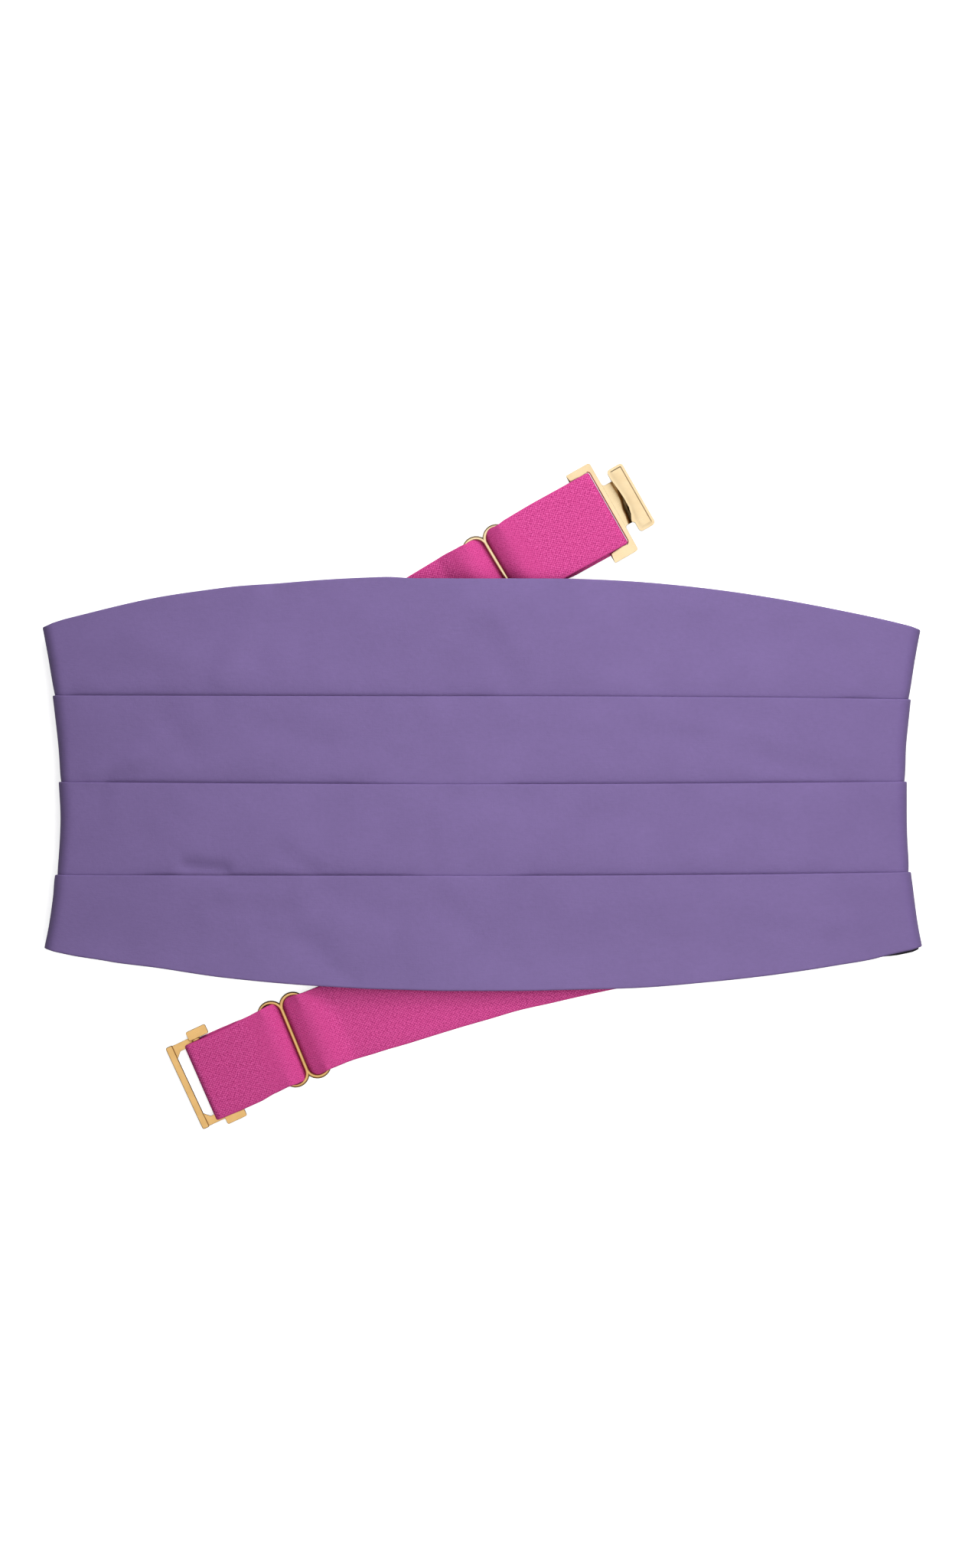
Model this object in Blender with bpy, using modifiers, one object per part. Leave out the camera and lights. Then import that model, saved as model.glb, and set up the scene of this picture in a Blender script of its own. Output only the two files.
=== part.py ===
"""A pleated cummerbund lying face up, both ends folded under its front.

Metres, +Z up, +X to the garment's left end as it lies, +Y towards its top edge.
The origin is on the surface that it lies on, under the middle of the whole.
"""

import math

import bmesh
import bpy
from mathutils import Matrix, Vector
from mathutils.geometry import tessellate_polygon

MM = 0.001

# The front panel, measured from its own middle
PANEL_Y = 3.5 * MM
CORNER_X = 138.6 * MM
WAIST_X = 133.6 * MM
CORNER_Y = 50 * MM
FLAT_EDGE = 20 * MM
EDGES = {
    "top": {"height": 65.2 * MM, "drop": 15.8 * MM, "power": 1.9},
    "bottom": {"height": -65.2 * MM, "drop": -13.4 * MM, "power": 1.95},
}

# Pleat lines, from the top down: their height at the left end, in the middle and at the right end
PLEAT_LINES = (
    {"left": 28.0 * MM, "middle": 27.8 * MM, "right": 26.8 * MM},
    {"left": 0.6 * MM, "middle": -0.1 * MM, "right": 0.7 * MM},
    {"left": -28.9 * MM, "middle": -29.2 * MM, "right": -28.0 * MM},
)
PLEAT_DEPTH = 10 * MM
WALL = 1.0 * MM
SLIT = 0.25 * MM
LAP = 1.0 * MM
RISE = SLIT + LAP
MOUTH = 2 * MM

# How the panel lies: rolled over at each side, sagging between the folds, lifted by the hook slide
FOLD_INNER = 2.6 * MM
FOLD_CENTRE_Z = FOLD_INNER + WALL + RISE
SIDE_Z = FOLD_CENTRE_Z + FOLD_INNER
SAG_MIDDLE = 3.2 * MM
SAG_BOTTOM = 1.5 * MM
LIFT_SHARE = 0.88
LIFT = {"x": 12 * MM, "y": 60 * MM, "wide": 40 * MM, "tall": 26 * MM}
UNDER_RUN = 3 * MM
SEAM = 0.3 * MM

# Lining, just behind the front
LINING_INSET = 0.8 * MM
PEEK = {"from": 119 * MM, "over": 12 * MM, "by": 1.5 * MM}

# Tabs: tapered ends of the garment, flat on the surface
TAB_WALL = 2.0 * MM
TABS = {
    "tab_left": {"side": -1, "tip_x": -93 * MM, "tip_low": -14 * MM, "tip_high": 19 * MM},
    "tab_right": {"side": 1, "tip_x": 93 * MM, "tip_low": -57 * MM, "tip_high": -24 * MM},
}

# Straps, slides, hook and eye
STRAP_WIDE = 25 * MM
STRAP_WALL = 1.0 * MM
WIRE = 0.75 * MM
SLIDE_LONG = 29 * MM
SLIDE_BAR = 7.65 * MM
BAR_Z = 2.05 * MM
BASE_LOW = 1.35 * MM
BASE_HIGH = 2.55 * MM
RING_TURN = 1.45 * MM
HUG = WIRE + SEAM + STRAP_WALL / 2
FLOOR_Z = STRAP_WALL / 2
SOFT_BEND = 6 * MM
TUCKS = {
    "front": {"by": 0.9 * MM, "from": 6.3 * MM, "over": 2.2 * MM},
    "sewn_end": {"by": 1.8 * MM, "from": 9.5 * MM, "over": 8 * MM},
}
ROUTES = {
    "hook": {
        "slide": Vector((5.95 * MM, 68.3 * MM + PANEL_Y)),
        "bearing": 0.0,
        "headings": ((-126, 31.2), (-12, 31.2), (-9, 30.6), (9, 30.6), (14, 29.6), (60, 29.6)),
        "start": -126 * MM,
        "tab_edge": -108 * MM,
        "ring": 36.0 * MM,
    },
    "eye": {
        "slide": Vector((-59.9 * MM, -81.3 * MM + PANEL_Y)),
        "bearing": 180.0,
        "headings": (
            (-170, 11.5), (-104, 11.5), (-91, 12.7), (-60, 15.6), (-25, 18.4), (-10, 22.5),
            (10, 22.5), (16, 24.6), (30, 23.6), (60, 23.6),
        ),
        "start": -165 * MM,
        "tab_edge": -148 * MM,
        "ring": 30.5 * MM,
    },
}

MATERIALS = {
    "satin": ((0.225, 0.158, 0.352), 0.0, 0.62),
    "lining": ((0.012, 0.010, 0.016), 0.0, 0.70),
    "elastic": ((0.680, 0.085, 0.310), 0.0, 0.85),
    "pale_gold": ((0.870, 0.680, 0.330), 1.0, 0.28),
    "deep_gold": ((0.760, 0.520, 0.200), 1.0, 0.32),
}


# ---------------------------------------------------------------- scene and materials
def empty_scene():
    for obj in list(bpy.data.objects):
        bpy.data.objects.remove(obj, do_unlink=True)


def new_collection(name):
    collection = bpy.data.collections.new(name)
    bpy.context.scene.collection.children.link(collection)
    return collection


def new_material(name, finish):
    colour, metallic, roughness = MATERIALS[finish]
    material = bpy.data.materials.new(name)
    material.use_nodes = True
    shader = material.node_tree.nodes["Principled BSDF"]
    shader.inputs["Base Color"].default_value = (*colour, 1.0)
    shader.inputs["Metallic"].default_value = metallic
    shader.inputs["Roughness"].default_value = roughness
    return material


def add_object(name, data, finish, collection):
    obj = bpy.data.objects.new(name, data)
    obj.data.materials.append(new_material(name, finish))
    collection.objects.link(obj)
    return obj


def add_loft(name, rings, caps, finish, collection):
    """A closed solid through rings of equally many points; caps holds the triangles of an end."""
    mesh = bmesh.new()
    made = [[mesh.verts.new(point) for point in ring] for ring in rings]
    count = len(made[0])
    for ring, following in zip(made, made[1:]):
        for i in range(count):
            j = (i + 1) % count
            mesh.faces.new((ring[i], ring[j], following[j], following[i]))
    for a, b, c in caps:
        mesh.faces.new((made[0][a], made[0][b], made[0][c]))
        mesh.faces.new((made[-1][c], made[-1][b], made[-1][a]))
    bmesh.ops.recalc_face_normals(mesh, faces=mesh.faces)
    data = bpy.data.meshes.new(name)
    mesh.to_mesh(data)
    mesh.free()
    data.shade_smooth()
    data.set_sharp_from_angle(angle=math.radians(40))
    return add_object(name, data, finish, collection)


def smooth(value):
    value = min(max(value, 0.0), 1.0)
    return value * value * (3 - 2 * value)


def blend(a, b, share):
    return a + (b - a) * share


# ---------------------------------------------------------------- the panel's shape
def edge_height(edge, x):
    size = EDGES[edge]
    along = max(0.0, abs(x) - FLAT_EDGE) / (CORNER_X - FLAT_EDGE)
    return size["height"] - size["drop"] * along ** size["power"]


def pleat_height(line, x):
    """The line bends gently through its three heights."""
    share = min(max(x / CORNER_X, -1.0), 1.0)
    end = line["right"] if share > 0 else line["left"]
    return blend(line["middle"], end, share * share)


def side_reach(across):
    """The side folds curve in between their corners."""
    return blend(WAIST_X, CORNER_X, (across / CORNER_Y) ** 2)


def flat_half(across):
    """Where each side fold starts; its pleats stand out a little more between the corners."""
    pleats = RISE / 2 * (1 - (across / CORNER_Y) ** 2)
    return side_reach(across) - FOLD_INNER - WALL - max(pleats, 0.0)


def rest_height(share, x, across):
    """Height of the front's inner face between the folds."""
    sag = SAG_MIDDLE + SAG_BOTTOM * smooth((-across - 15 * MM) / (45 * MM))
    lift = LIFT_SHARE * math.exp(
        -(((x - LIFT["x"]) / LIFT["wide"]) ** 2) - ((across - LIFT["y"]) / LIFT["tall"]) ** 2
    )
    return SIDE_Z - sag * math.cos(share * math.pi / 2) ** 2 * (1 - lift)


def panel_stations():
    """From the left seam, round the left fold, along the panel, round the right fold, to the right seam."""
    flats, turns = 22, 6
    left = [{"side": -1, "turn": math.pi, "run": UNDER_RUN}]
    left += [{"side": -1, "turn": math.pi * (1 - i / turns), "run": 0.0} for i in range(turns)]
    flat = [{"share": 2 * i / flats - 1} for i in range(flats + 1)]
    right = [{**row, "side": 1} for row in reversed(left)]
    return left + flat + right


def plan_reach(station):
    """How far along the panel's edge a station lies, going on past the fold underneath."""
    if "share" in station:
        return station["share"] * flat_half(CORNER_Y)
    radius = FOLD_INNER + WALL + RISE / 2
    reach = radius * math.sin(station["turn"])
    if station["turn"] > math.pi / 2:
        reach = 2 * radius - reach
    return station["side"] * (flat_half(CORNER_Y) + reach + station["run"])


def place(station, across, rise):
    """A point of the panel: across it, and out from the front's inner face."""
    half = flat_half(across)
    if "share" in station:
        x = station["share"] * half
        z = rest_height(station["share"], x, across) + rise
    else:
        radius = FOLD_INNER + rise
        x = station["side"] * (half + radius * math.sin(station["turn"]) - station["run"])
        z = FOLD_CENTRE_Z + radius * math.cos(station["turn"])
    return Vector((x, PANEL_Y + across, z))


# ---------------------------------------------------------------- front
def pleat_outline(line, following):
    """The outer face round one pleat: into the slit behind its fold, back out, and down its band to the next."""
    nose = 0.7 * MM
    top = WALL + RISE
    rounding = ((nose, WALL + SLIT), (0.15 * MM, WALL + SLIT + 0.25 * MM), (0.0, WALL + SLIT + LAP / 2),
                (0.15 * MM, top - 0.25 * MM), (nose, top))
    points = [(line + MOUTH, WALL), (line - PLEAT_DEPTH, WALL), (line - PLEAT_DEPTH, WALL + SLIT)]
    points += [(line - inset, rise) for inset, rise in rounding]
    points.append((line - PLEAT_DEPTH * 0.6, top))
    steps = 4
    for step in range(steps):
        share = step / steps
        points.append((blend(line - PLEAT_DEPTH, following + MOUTH, share), top - RISE * share))
    return points


def front_outline(x):
    """The front cut across at x: down its outer face with its pleats, and back up its inner face."""
    top, bottom = edge_height("top", x), edge_height("bottom", x)
    soft = 0.3 * MM
    points = [(top - 0.1 * MM, soft), (top, WALL / 2), (top - soft, WALL - 0.1 * MM), (top - 1 * MM, WALL)]
    points.append((blend(top, pleat_height(PLEAT_LINES[0], x), 0.35), WALL))
    lines = [pleat_height(line, x) for line in PLEAT_LINES] + [bottom + 6 * MM]
    for line, following in zip(lines, lines[1:]):
        points += pleat_outline(line, following)
    points.append((bottom + 8 * MM, WALL))
    points += [(bottom + 1 * MM, WALL), (bottom + soft, WALL - 0.1 * MM), (bottom, WALL / 2)]
    points += [(bottom + 0.1 * MM, soft)]
    steps = 12
    for step in range(steps + 1):
        inset = 1 * MM
        points.append((blend(bottom + inset, top - inset, step / steps), 0.0))
    return points


def make_front(collection):
    stations = panel_stations()
    outlines = [front_outline(plan_reach(station)) for station in stations]
    rings = [
        [place(station, across, rise) for across, rise in outline]
        for station, outline in zip(stations, outlines)
    ]
    flat = [Vector((across, rise, 0.0)) for across, rise in outlines[0]]
    add_loft("front", rings, tessellate_polygon([flat]), "satin", collection)


# ---------------------------------------------------------------- lining
def lining_outline(x):
    """A strip one wall thick; its bottom edge peeks out near the right corner."""
    peek = PEEK["by"] * smooth((x - PEEK["from"]) / PEEK["over"])
    top = edge_height("top", x) - LINING_INSET
    bottom = edge_height("bottom", x) + LINING_INSET - peek
    steps = 11
    across = [blend(top, bottom, step / steps) for step in range(steps + 1)]
    outer = [(value, -SEAM) for value in across]
    inner = [(value, -SEAM - WALL) for value in reversed(across)]
    return outer + inner


def make_lining(collection):
    stations = panel_stations()
    outlines = [lining_outline(plan_reach(station)) for station in stations]
    rings = [
        [place(station, across, rise) for across, rise in outline]
        for station, outline in zip(stations, outlines)
    ]
    flat = [Vector((across, rise, 0.0)) for across, rise in outlines[0]]
    add_loft("lining", rings, tessellate_polygon([flat]), "lining", collection)


# ---------------------------------------------------------------- tabs
def add_outline(name, loops, low, high, bevel, finish, collection):
    """A flat plate between two heights, from closed outlines; loops after the first are holes."""
    curve = bpy.data.curves.new(name, "CURVE")
    curve.dimensions = "2D"
    curve.fill_mode = "BOTH"
    curve.extrude = (high - low) / 2 - bevel
    curve.bevel_depth = bevel
    curve.bevel_resolution = 1
    curve.offset = -bevel
    for loop in loops:
        spline = curve.splines.new("POLY")
        spline.points.add(len(loop) - 1)
        spline.use_cyclic_u = True
        for point, (x, y) in zip(spline.points, loop):
            point.co = (x, y, 0.0, 1.0)
    obj = add_object(name, curve, finish, collection)
    obj.location.z = (low + high) / 2
    return obj


def make_tab(name, collection):
    size = TABS[name]
    side = size["side"]
    seam = {"side": side, "turn": math.pi, "run": UNDER_RUN}
    reach = plan_reach(seam)
    top, bottom = edge_height("top", reach), edge_height("bottom", reach)
    steps = 8
    outline = []
    for step in range(steps + 1):
        across = blend(bottom, top, step / steps)
        outline.append((side * (flat_half(across) - UNDER_RUN - SEAM), PANEL_Y + across))
    outline.append((size["tip_x"], PANEL_Y + size["tip_high"]))
    outline.append((size["tip_x"], PANEL_Y + size["tip_low"]))
    add_outline(name, [outline], 0.0, TAB_WALL, 0.4 * MM, "satin", collection)


# ---------------------------------------------------------------- straps
def heading_at(route, along):
    """The strap's direction in plan, read from the route's table, in radians."""
    rows = [(distance * MM, angle) for distance, angle in route["headings"]]
    angle = rows[0][1]
    for (near, first), (far, second) in zip(rows, rows[1:]):
        if along >= near:
            angle = blend(first, second, min((along - near) / (far - near), 1.0))
    return math.radians(route["bearing"] + angle)


def plan_point(route, along):
    """The strap's middle line, walked from its slide in short steps."""
    steps = max(1, round(abs(along) / MM))
    step = along / steps
    point = route["slide"].copy()
    for i in range(steps):
        heading = heading_at(route, (i + 0.5) * step)
        point += Vector((math.cos(heading), math.sin(heading))) * step
    return point


def strap_point(route, along, sideways, height):
    heading = heading_at(route, along)
    point = plan_point(route, along) + Vector((-math.sin(heading), math.cos(heading))) * sideways
    return Vector((point.x, point.y, height))


def strap_bars(route):
    """What the strap bends round, in order: where, how far its middle passes, and which way it turns."""
    turn = SOFT_BEND
    outer = HUG + STRAP_WALL + SEAM
    on_tab = TAB_WALL + SEAM + STRAP_WALL / 2
    start, edge, ring = route["start"], route["tab_edge"], route["ring"]
    return (
        {"along": start, "height": on_tab, "radius": 0.0, "way": 1},
        {"along": edge, "height": on_tab - turn, "radius": turn, "way": -1},
        {"along": edge + 10 * MM, "height": FLOOR_Z + turn, "radius": turn, "way": 1},
        {"along": -17 * MM, "height": FLOOR_Z + turn, "radius": turn, "way": 1},
        {"along": -SLIDE_BAR, "height": BAR_Z, "radius": HUG, "way": -1},
        {"along": 0.0, "height": BAR_Z, "radius": HUG, "way": 1},
        {"along": SLIDE_BAR, "height": BAR_Z, "radius": outer, "way": -1},
        {"along": ring, "height": (BASE_LOW + BASE_HIGH) / 2, "radius": RING_TURN, "way": -1},
        {"along": SLIDE_BAR, "height": BAR_Z, "radius": HUG, "way": -1},
        {"along": SLIDE_BAR + 8 * MM, "height": BAR_Z + 0.1 * MM, "radius": 0.0, "way": 1},
    )


def threaded_path(bars):
    """Points (along, height, direction, bar number) of a band pulled smoothly round the bars."""
    directions = []
    for first, second in zip(bars, bars[1:]):
        gap = Vector((second["along"] - first["along"], second["height"] - first["height"]))
        offset = second["way"] * second["radius"] - first["way"] * first["radius"]
        directions.append(math.atan2(gap.y, gap.x) - math.asin(offset / gap.length))
    path = []
    for i, bar in enumerate(bars):
        arriving = directions[max(i - 1, 0)]
        leaving = directions[min(i, len(directions) - 1)]
        sweep = (leaving - arriving + math.pi) % (2 * math.pi) - math.pi
        if sweep * bar["way"] < -0.5:
            sweep += bar["way"] * 2 * math.pi
        parts = max(1, math.ceil(abs(sweep) / math.radians(30)))
        for part in range(parts + 1):
            if part and abs(sweep) < 1e-6:
                break
            angle = arriving + sweep * part / parts
            path.append((
                bar["along"] + bar["way"] * bar["radius"] * math.sin(angle),
                bar["height"] - bar["way"] * bar["radius"] * math.cos(angle),
                angle,
                i,
            ))
    return path


def divided(path, most):
    """Long straight stretches get points between their ends."""
    result = [path[0]]
    for first, second in zip(path, path[1:]):
        parts = max(1, math.ceil(abs(second[0] - first[0]) / most))
        result += [
            tuple(blend(a, b, part / parts) for a, b in zip(first[:2], second[:2])) + second[2:]
            for part in range(1, parts)
        ]
        result.append(second)
    return result


def strap_half(along, where):
    """Half the width: the band tucks in through the slide, more so at its own sewn end."""
    tuck = TUCKS[where]
    return STRAP_WIDE / 2 - tuck["by"] * (1 - smooth((abs(along) - tuck["from"]) / tuck["over"]))


def make_strap(name, route, collection):
    """One band of elastic, from its tab through the slide, round the crossbar and back to the slide."""
    bars = strap_bars(route)
    sewn_end = len(bars) - 2
    rings = []
    for along, height, angle, bar in divided(threaded_path(bars), 9 * MM):
        half = strap_half(along, "sewn_end" if bar >= sewn_end else "front")
        ring = []
        for sideways, rise in ((-half, -0.5), (half, -0.5), (half, 0.5), (-half, 0.5)):
            out = rise * STRAP_WALL
            ring.append(strap_point(
                route, along - math.sin(angle) * out, sideways, height + math.cos(angle) * out))
        rings.append(ring)
    add_loft(name, rings, ((0, 1, 2), (0, 2, 3)), "elastic", collection)


# ---------------------------------------------------------------- slides
def place_at(obj, route, along):
    """Stands an object modelled along +X on the strap's middle line."""
    point = plan_point(route, along)
    turn = Matrix.Rotation(heading_at(route, along), 4, "Z")
    obj.matrix_world = Matrix.Translation((point.x, point.y, obj.location.z)) @ turn


def end_arc(centre_x, centre_y, radius, start, sweep, steps):
    return [
        (centre_x + radius * math.cos(start + sweep * i / steps),
         centre_y + radius * math.sin(start + sweep * i / steps))
        for i in range(steps + 1)
    ]


def add_wire(name, points, cyclic, finish, collection):
    curve = bpy.data.curves.new(name, "CURVE")
    curve.dimensions = "3D"
    curve.bevel_depth = WIRE
    curve.bevel_resolution = 2
    curve.use_fill_caps = True
    spline = curve.splines.new("POLY")
    spline.points.add(len(points) - 1)
    spline.use_cyclic_u = cyclic
    for point, (x, y) in zip(spline.points, points):
        point.co = (x, y, 0.0, 1.0)
    return add_object(name, curve, finish, collection)


def as_mesh(obj, collection):
    """Swaps a curve object for a mesh one with its caps welded."""
    bpy.context.view_layer.update()
    evaluated = obj.evaluated_get(bpy.context.evaluated_depsgraph_get())
    data = bpy.data.meshes.new_from_object(evaluated)
    mesh = bmesh.new()
    mesh.from_mesh(data)
    bmesh.ops.remove_doubles(mesh, verts=mesh.verts, dist=1e-6)
    mesh.to_mesh(data)
    mesh.free()
    name = obj.name
    matrix = obj.matrix_world.copy()
    bpy.data.objects.remove(obj, do_unlink=True)
    swapped = bpy.data.objects.new(name, data)
    swapped.matrix_world = matrix
    collection.objects.link(swapped)
    return swapped


def join(obj, pieces, cutters):
    """Fuses the pieces into the object; the pieces stay behind as hidden guides."""
    for piece in pieces:
        bpy.context.view_layer.update()
        for old in list(piece.users_collection):
            old.objects.unlink(piece)
        cutters.objects.link(piece)
        piece.hide_render = True
        piece.display_type = "WIRE"
        fuse = obj.modifiers.new("join " + piece.name, "BOOLEAN")
        fuse.operation = "UNION"
        fuse.object = piece


def make_slide(name, route, finish, collection, cutters):
    """Two long wire loops side by side: a whole one, and one that ends on the shared middle bar."""
    radius = SLIDE_BAR / 2
    straight = SLIDE_LONG / 2 - WIRE - radius
    steps = 7
    ring = end_arc(radius, straight, radius, math.pi, -math.pi, steps)
    ring += end_arc(radius, -straight, radius, 0.0, -math.pi, steps)
    loop = end_arc(-radius, straight, radius, math.radians(8), math.radians(172), steps)
    loop += end_arc(-radius, -straight, radius, math.pi, math.radians(172), steps)
    whole = as_mesh(add_wire(name, ring, True, finish, collection), collection)
    half = as_mesh(add_wire(name + "_far_loop", loop, False, finish, collection), collection)
    for obj in (whole, half):
        obj.location.z = BAR_Z
        place_at(obj, route, 0.0)
    join(whole, [half], cutters)


# ---------------------------------------------------------------- hook and eye
def box_outline(left, low, right, high):
    return [(left, low), (right, low), (right, high), (left, high)]


def add_neck(name, left, right, wide, dip, collection):
    """A bridge that dips between its ends, swept across its width."""
    steps, thick = 8, 1.2 * MM
    top, under = [], []
    for step in range(steps + 1):
        share = step / steps
        x = blend(left, right, share)
        z = BASE_HIGH - 0.05 * MM - dip * math.sin(math.pi * share) ** 2
        top.append((x, z))
        under.append((x, z - thick))
    profile = top + under[::-1]
    rings = [[Vector((x, y, z)) for x, z in profile] for y in (-wide / 2, wide / 2)]
    flat = [Vector((x, z, 0.0)) for x, z in profile]
    return add_loft(name, rings, tessellate_polygon([flat]), "pale_gold", collection)


def add_block(name, left, right, wide, low, high, bevel, collection):
    bpy.ops.mesh.primitive_cube_add(size=1.0)
    obj = bpy.context.object
    obj.name = name
    for vert in obj.data.vertices:
        vert.co = Vector((
            blend(left, right, vert.co.x + 0.5), vert.co.y * wide, blend(low, high, vert.co.z + 0.5)))
    edges = obj.modifiers.new("soft edges", "BEVEL")
    edges.width = bevel
    edges.segments = 2
    for old in list(obj.users_collection):
        old.objects.unlink(obj)
    collection.objects.link(obj)
    return obj


def make_hook(collection, cutters):
    """Base with a crossbar for the strap, a neck, and a T bar with a sunk face. X = 0 is the crossbar."""
    half_long, arm = 15.65 * MM, 2.6 * MM
    left, right = -3.7 * MM, 4.75 * MM
    bar_left, bar_right, plate_left = -1.6 * MM, 0.35 * MM, 2.25 * MM
    inner = half_long - arm
    outline = [
        (left, -half_long), (right, -half_long), (right, half_long), (left, half_long),
        (left, inner), (bar_left, inner), (bar_left, -inner), (left, -inner),
    ]
    slot = box_outline(bar_right, -inner, plate_left, inner)[::-1]
    base = as_mesh(
        add_outline("hook", [outline, slot], BASE_LOW, BASE_HIGH, 0.2 * MM, "pale_gold", collection),
        collection,
    )
    base.location.z = (BASE_LOW + BASE_HIGH) / 2
    t_left, t_right, t_wide, t_low, t_high = 8.2 * MM, 13.2 * MM, 21.7 * MM, 1.2 * MM, 3.2 * MM
    rim, sunk = 0.75 * MM, 0.35 * MM
    neck = add_neck("hook_neck", right - 1 * MM, t_left + 1 * MM, 14.4 * MM, 0.7 * MM, collection)
    bar = add_block("hook_t_bar", t_left, t_right, t_wide, t_low, t_high, 0.4 * MM, collection)
    face = add_block("hook_face", t_left + rim, t_right - rim, t_wide - 2 * rim, t_high - sunk,
                     t_high + 1 * MM, 0.15 * MM, collection)
    for obj in (base, neck, bar, face):
        place_at(obj, ROUTES["hook"], ROUTES["hook"]["ring"])
    join(base, [neck, bar], cutters)
    join(base, [face], cutters)
    base.modifiers[-1].operation = "DIFFERENCE"


def make_eye(collection, cutters):
    """Base with a crossbar for the strap and a long loop that ends in a raised bar. X = 0 is the crossbar."""
    tab_left, tab_right, tab_long = -7.3 * MM, -0.4 * MM, 16.0 * MM
    frame_long, frame_right = 13.7 * MM, 7.4 * MM
    loop_left, loop_right, loop_long, chamfer = -0.2 * MM, 5.2 * MM, 11.5 * MM, 2.0 * MM
    pocket_right, pocket_long = 2.75 * MM, 12.9 * MM
    slot_left, slot_right, slot_long = -5.7 * MM, -2.4 * MM, 12.9 * MM
    outline = [
        (tab_left, -tab_long), (tab_right, -tab_long), (tab_right, -frame_long),
        (frame_right, -frame_long), (frame_right, frame_long), (tab_right, frame_long),
        (tab_right, tab_long), (tab_left, tab_long),
    ]
    upper = [
        (loop_left, pocket_long), (pocket_right, pocket_long), (pocket_right, loop_long),
        (loop_right - chamfer, loop_long), (loop_right, loop_long - chamfer),
    ]
    loop = upper + [(x, -y) for x, y in reversed(upper)]
    slot = box_outline(slot_left, -slot_long, slot_right, slot_long)[::-1]
    base = as_mesh(
        add_outline("eye", [outline, loop, slot], BASE_LOW, BASE_HIGH, 0.2 * MM, "deep_gold", collection),
        collection,
    )
    base.location.z = (BASE_LOW + BASE_HIGH) / 2
    bar = add_block("eye_bar", loop_right, frame_right, 2 * frame_long, BASE_LOW - 0.35 * MM,
                    BASE_HIGH + 0.6 * MM, 0.3 * MM, collection)
    for obj in (base, bar):
        place_at(obj, ROUTES["eye"], ROUTES["eye"]["ring"])
    join(base, [bar], cutters)


def main():
    empty_scene()
    garment = new_collection("cummerbund")
    cutters = new_collection("guides")
    make_front(garment)
    make_lining(garment)
    for name in TABS:
        make_tab(name, garment)
    for end, finish in (("hook", "pale_gold"), ("eye", "deep_gold")):
        make_strap("strap_" + end, ROUTES[end], garment)
        make_slide("slide_" + end, ROUTES[end], finish, garment, cutters)
    make_hook(garment, cutters)
    make_eye(garment, cutters)


main()
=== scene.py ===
import math

import bmesh
import bpy
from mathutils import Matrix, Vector, noise


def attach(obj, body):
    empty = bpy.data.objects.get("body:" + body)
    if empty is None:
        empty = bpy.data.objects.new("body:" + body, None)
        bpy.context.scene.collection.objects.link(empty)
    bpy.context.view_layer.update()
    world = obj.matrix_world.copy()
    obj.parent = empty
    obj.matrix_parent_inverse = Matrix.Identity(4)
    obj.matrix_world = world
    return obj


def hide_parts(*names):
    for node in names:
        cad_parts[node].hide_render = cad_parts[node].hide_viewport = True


# A pleated satin cummerbund lying face up, both ends folded under, its straps reaching out at two edges.
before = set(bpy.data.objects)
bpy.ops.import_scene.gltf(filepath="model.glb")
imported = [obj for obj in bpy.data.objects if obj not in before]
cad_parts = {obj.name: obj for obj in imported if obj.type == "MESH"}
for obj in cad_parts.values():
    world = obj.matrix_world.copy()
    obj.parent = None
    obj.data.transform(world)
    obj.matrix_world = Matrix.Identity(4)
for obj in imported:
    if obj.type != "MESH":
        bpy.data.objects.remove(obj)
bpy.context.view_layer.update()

# ============================================================ the view
# The garment lies on a table and is seen from straight above, through a long lens far away.
MM = 0.001
LENS_MM, SENSOR_MM = 120.0, 36.0
VIEW_LONG = 0.497
VIEW_CENTRE = (0.0, 3.5 * MM, 8.0 * MM)
bpy.ops.object.select_all(action="DESELECT")
bpy.ops.object.camera_add(
    location=(VIEW_CENTRE[0], VIEW_CENTRE[1], VIEW_CENTRE[2] + VIEW_LONG * LENS_MM / SENSOR_MM),
    rotation=(0.0, 0.0, 0.0),
)
camera = bpy.context.object
camera.name = "above"
camera.data.lens, camera.data.sensor_width = LENS_MM, SENSOR_MM
bpy.context.scene.camera = camera


# ============================================================ front
# Purple satin, cut in one piece and laid in three knife pleats that open upwards, each stitched down
# at both ends. Its top and bottom edges are turned in over the lining, and it rolls under at each side.
PANEL_Y = 3.5 * MM
CORNER_X, WAIST_X, CORNER_Y = 138.6 * MM, 133.6 * MM, 50 * MM
FLAT_EDGE = 20 * MM
PANEL_EDGES = {
    "top": {"height": 65.2 * MM, "drop": 15.8 * MM, "power": 1.9},
    "bottom": {"height": -65.2 * MM, "drop": -13.4 * MM, "power": 1.95},
}
# How far the laid cloth strays outwards from those curves: along each edge in mm, then by how many mm
EDGE_STRAYS = {
    "top": (
        (-138, 0.6), (-130, 1.0), (-100, 1.6), (-80, 1.4), (-60, 0.75), (-30, 0.7), (-20, 0.1), (0, 0.0),
        (40, 0.0), (110, -0.4), (130, -0.25),
    ),
    "bottom": (
        (-138, 0.6), (-130, 0.6), (-118, 0.2), (-100, -0.4), (-80, -0.1), (-50, 0.0), (-30, 0.2), (-10, 0.6),
        (10, 0.6), (30, 0.25), (50, 0.4), (70, 0.2), (110, 0.25), (120, 0.4), (130, 0.0),
    ),
    "left": ((-60, 0.2), (-36, 0.2), (-30, 0.5), (-12, 0.5), (4, 1.3), (36, 1.4), (60, 1.2)),
    "right": ((-60, 0.75), (-30, 0.9), (-22, 1.2), (4, 1.4), (14, 1.1), (60, 0.8)),
}
FOLD_INNER, FOLD_WALL, FOLD_SPREAD = 2.6 * MM, 1.0 * MM, 1.25 * MM
FOLD_CENTRE_Z = FOLD_INNER + FOLD_WALL + FOLD_SPREAD
SIDE_Z = FOLD_CENTRE_Z + FOLD_INNER
SAG_MIDDLE, SAG_BOTTOM = 3.2 * MM, 1.5 * MM
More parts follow.
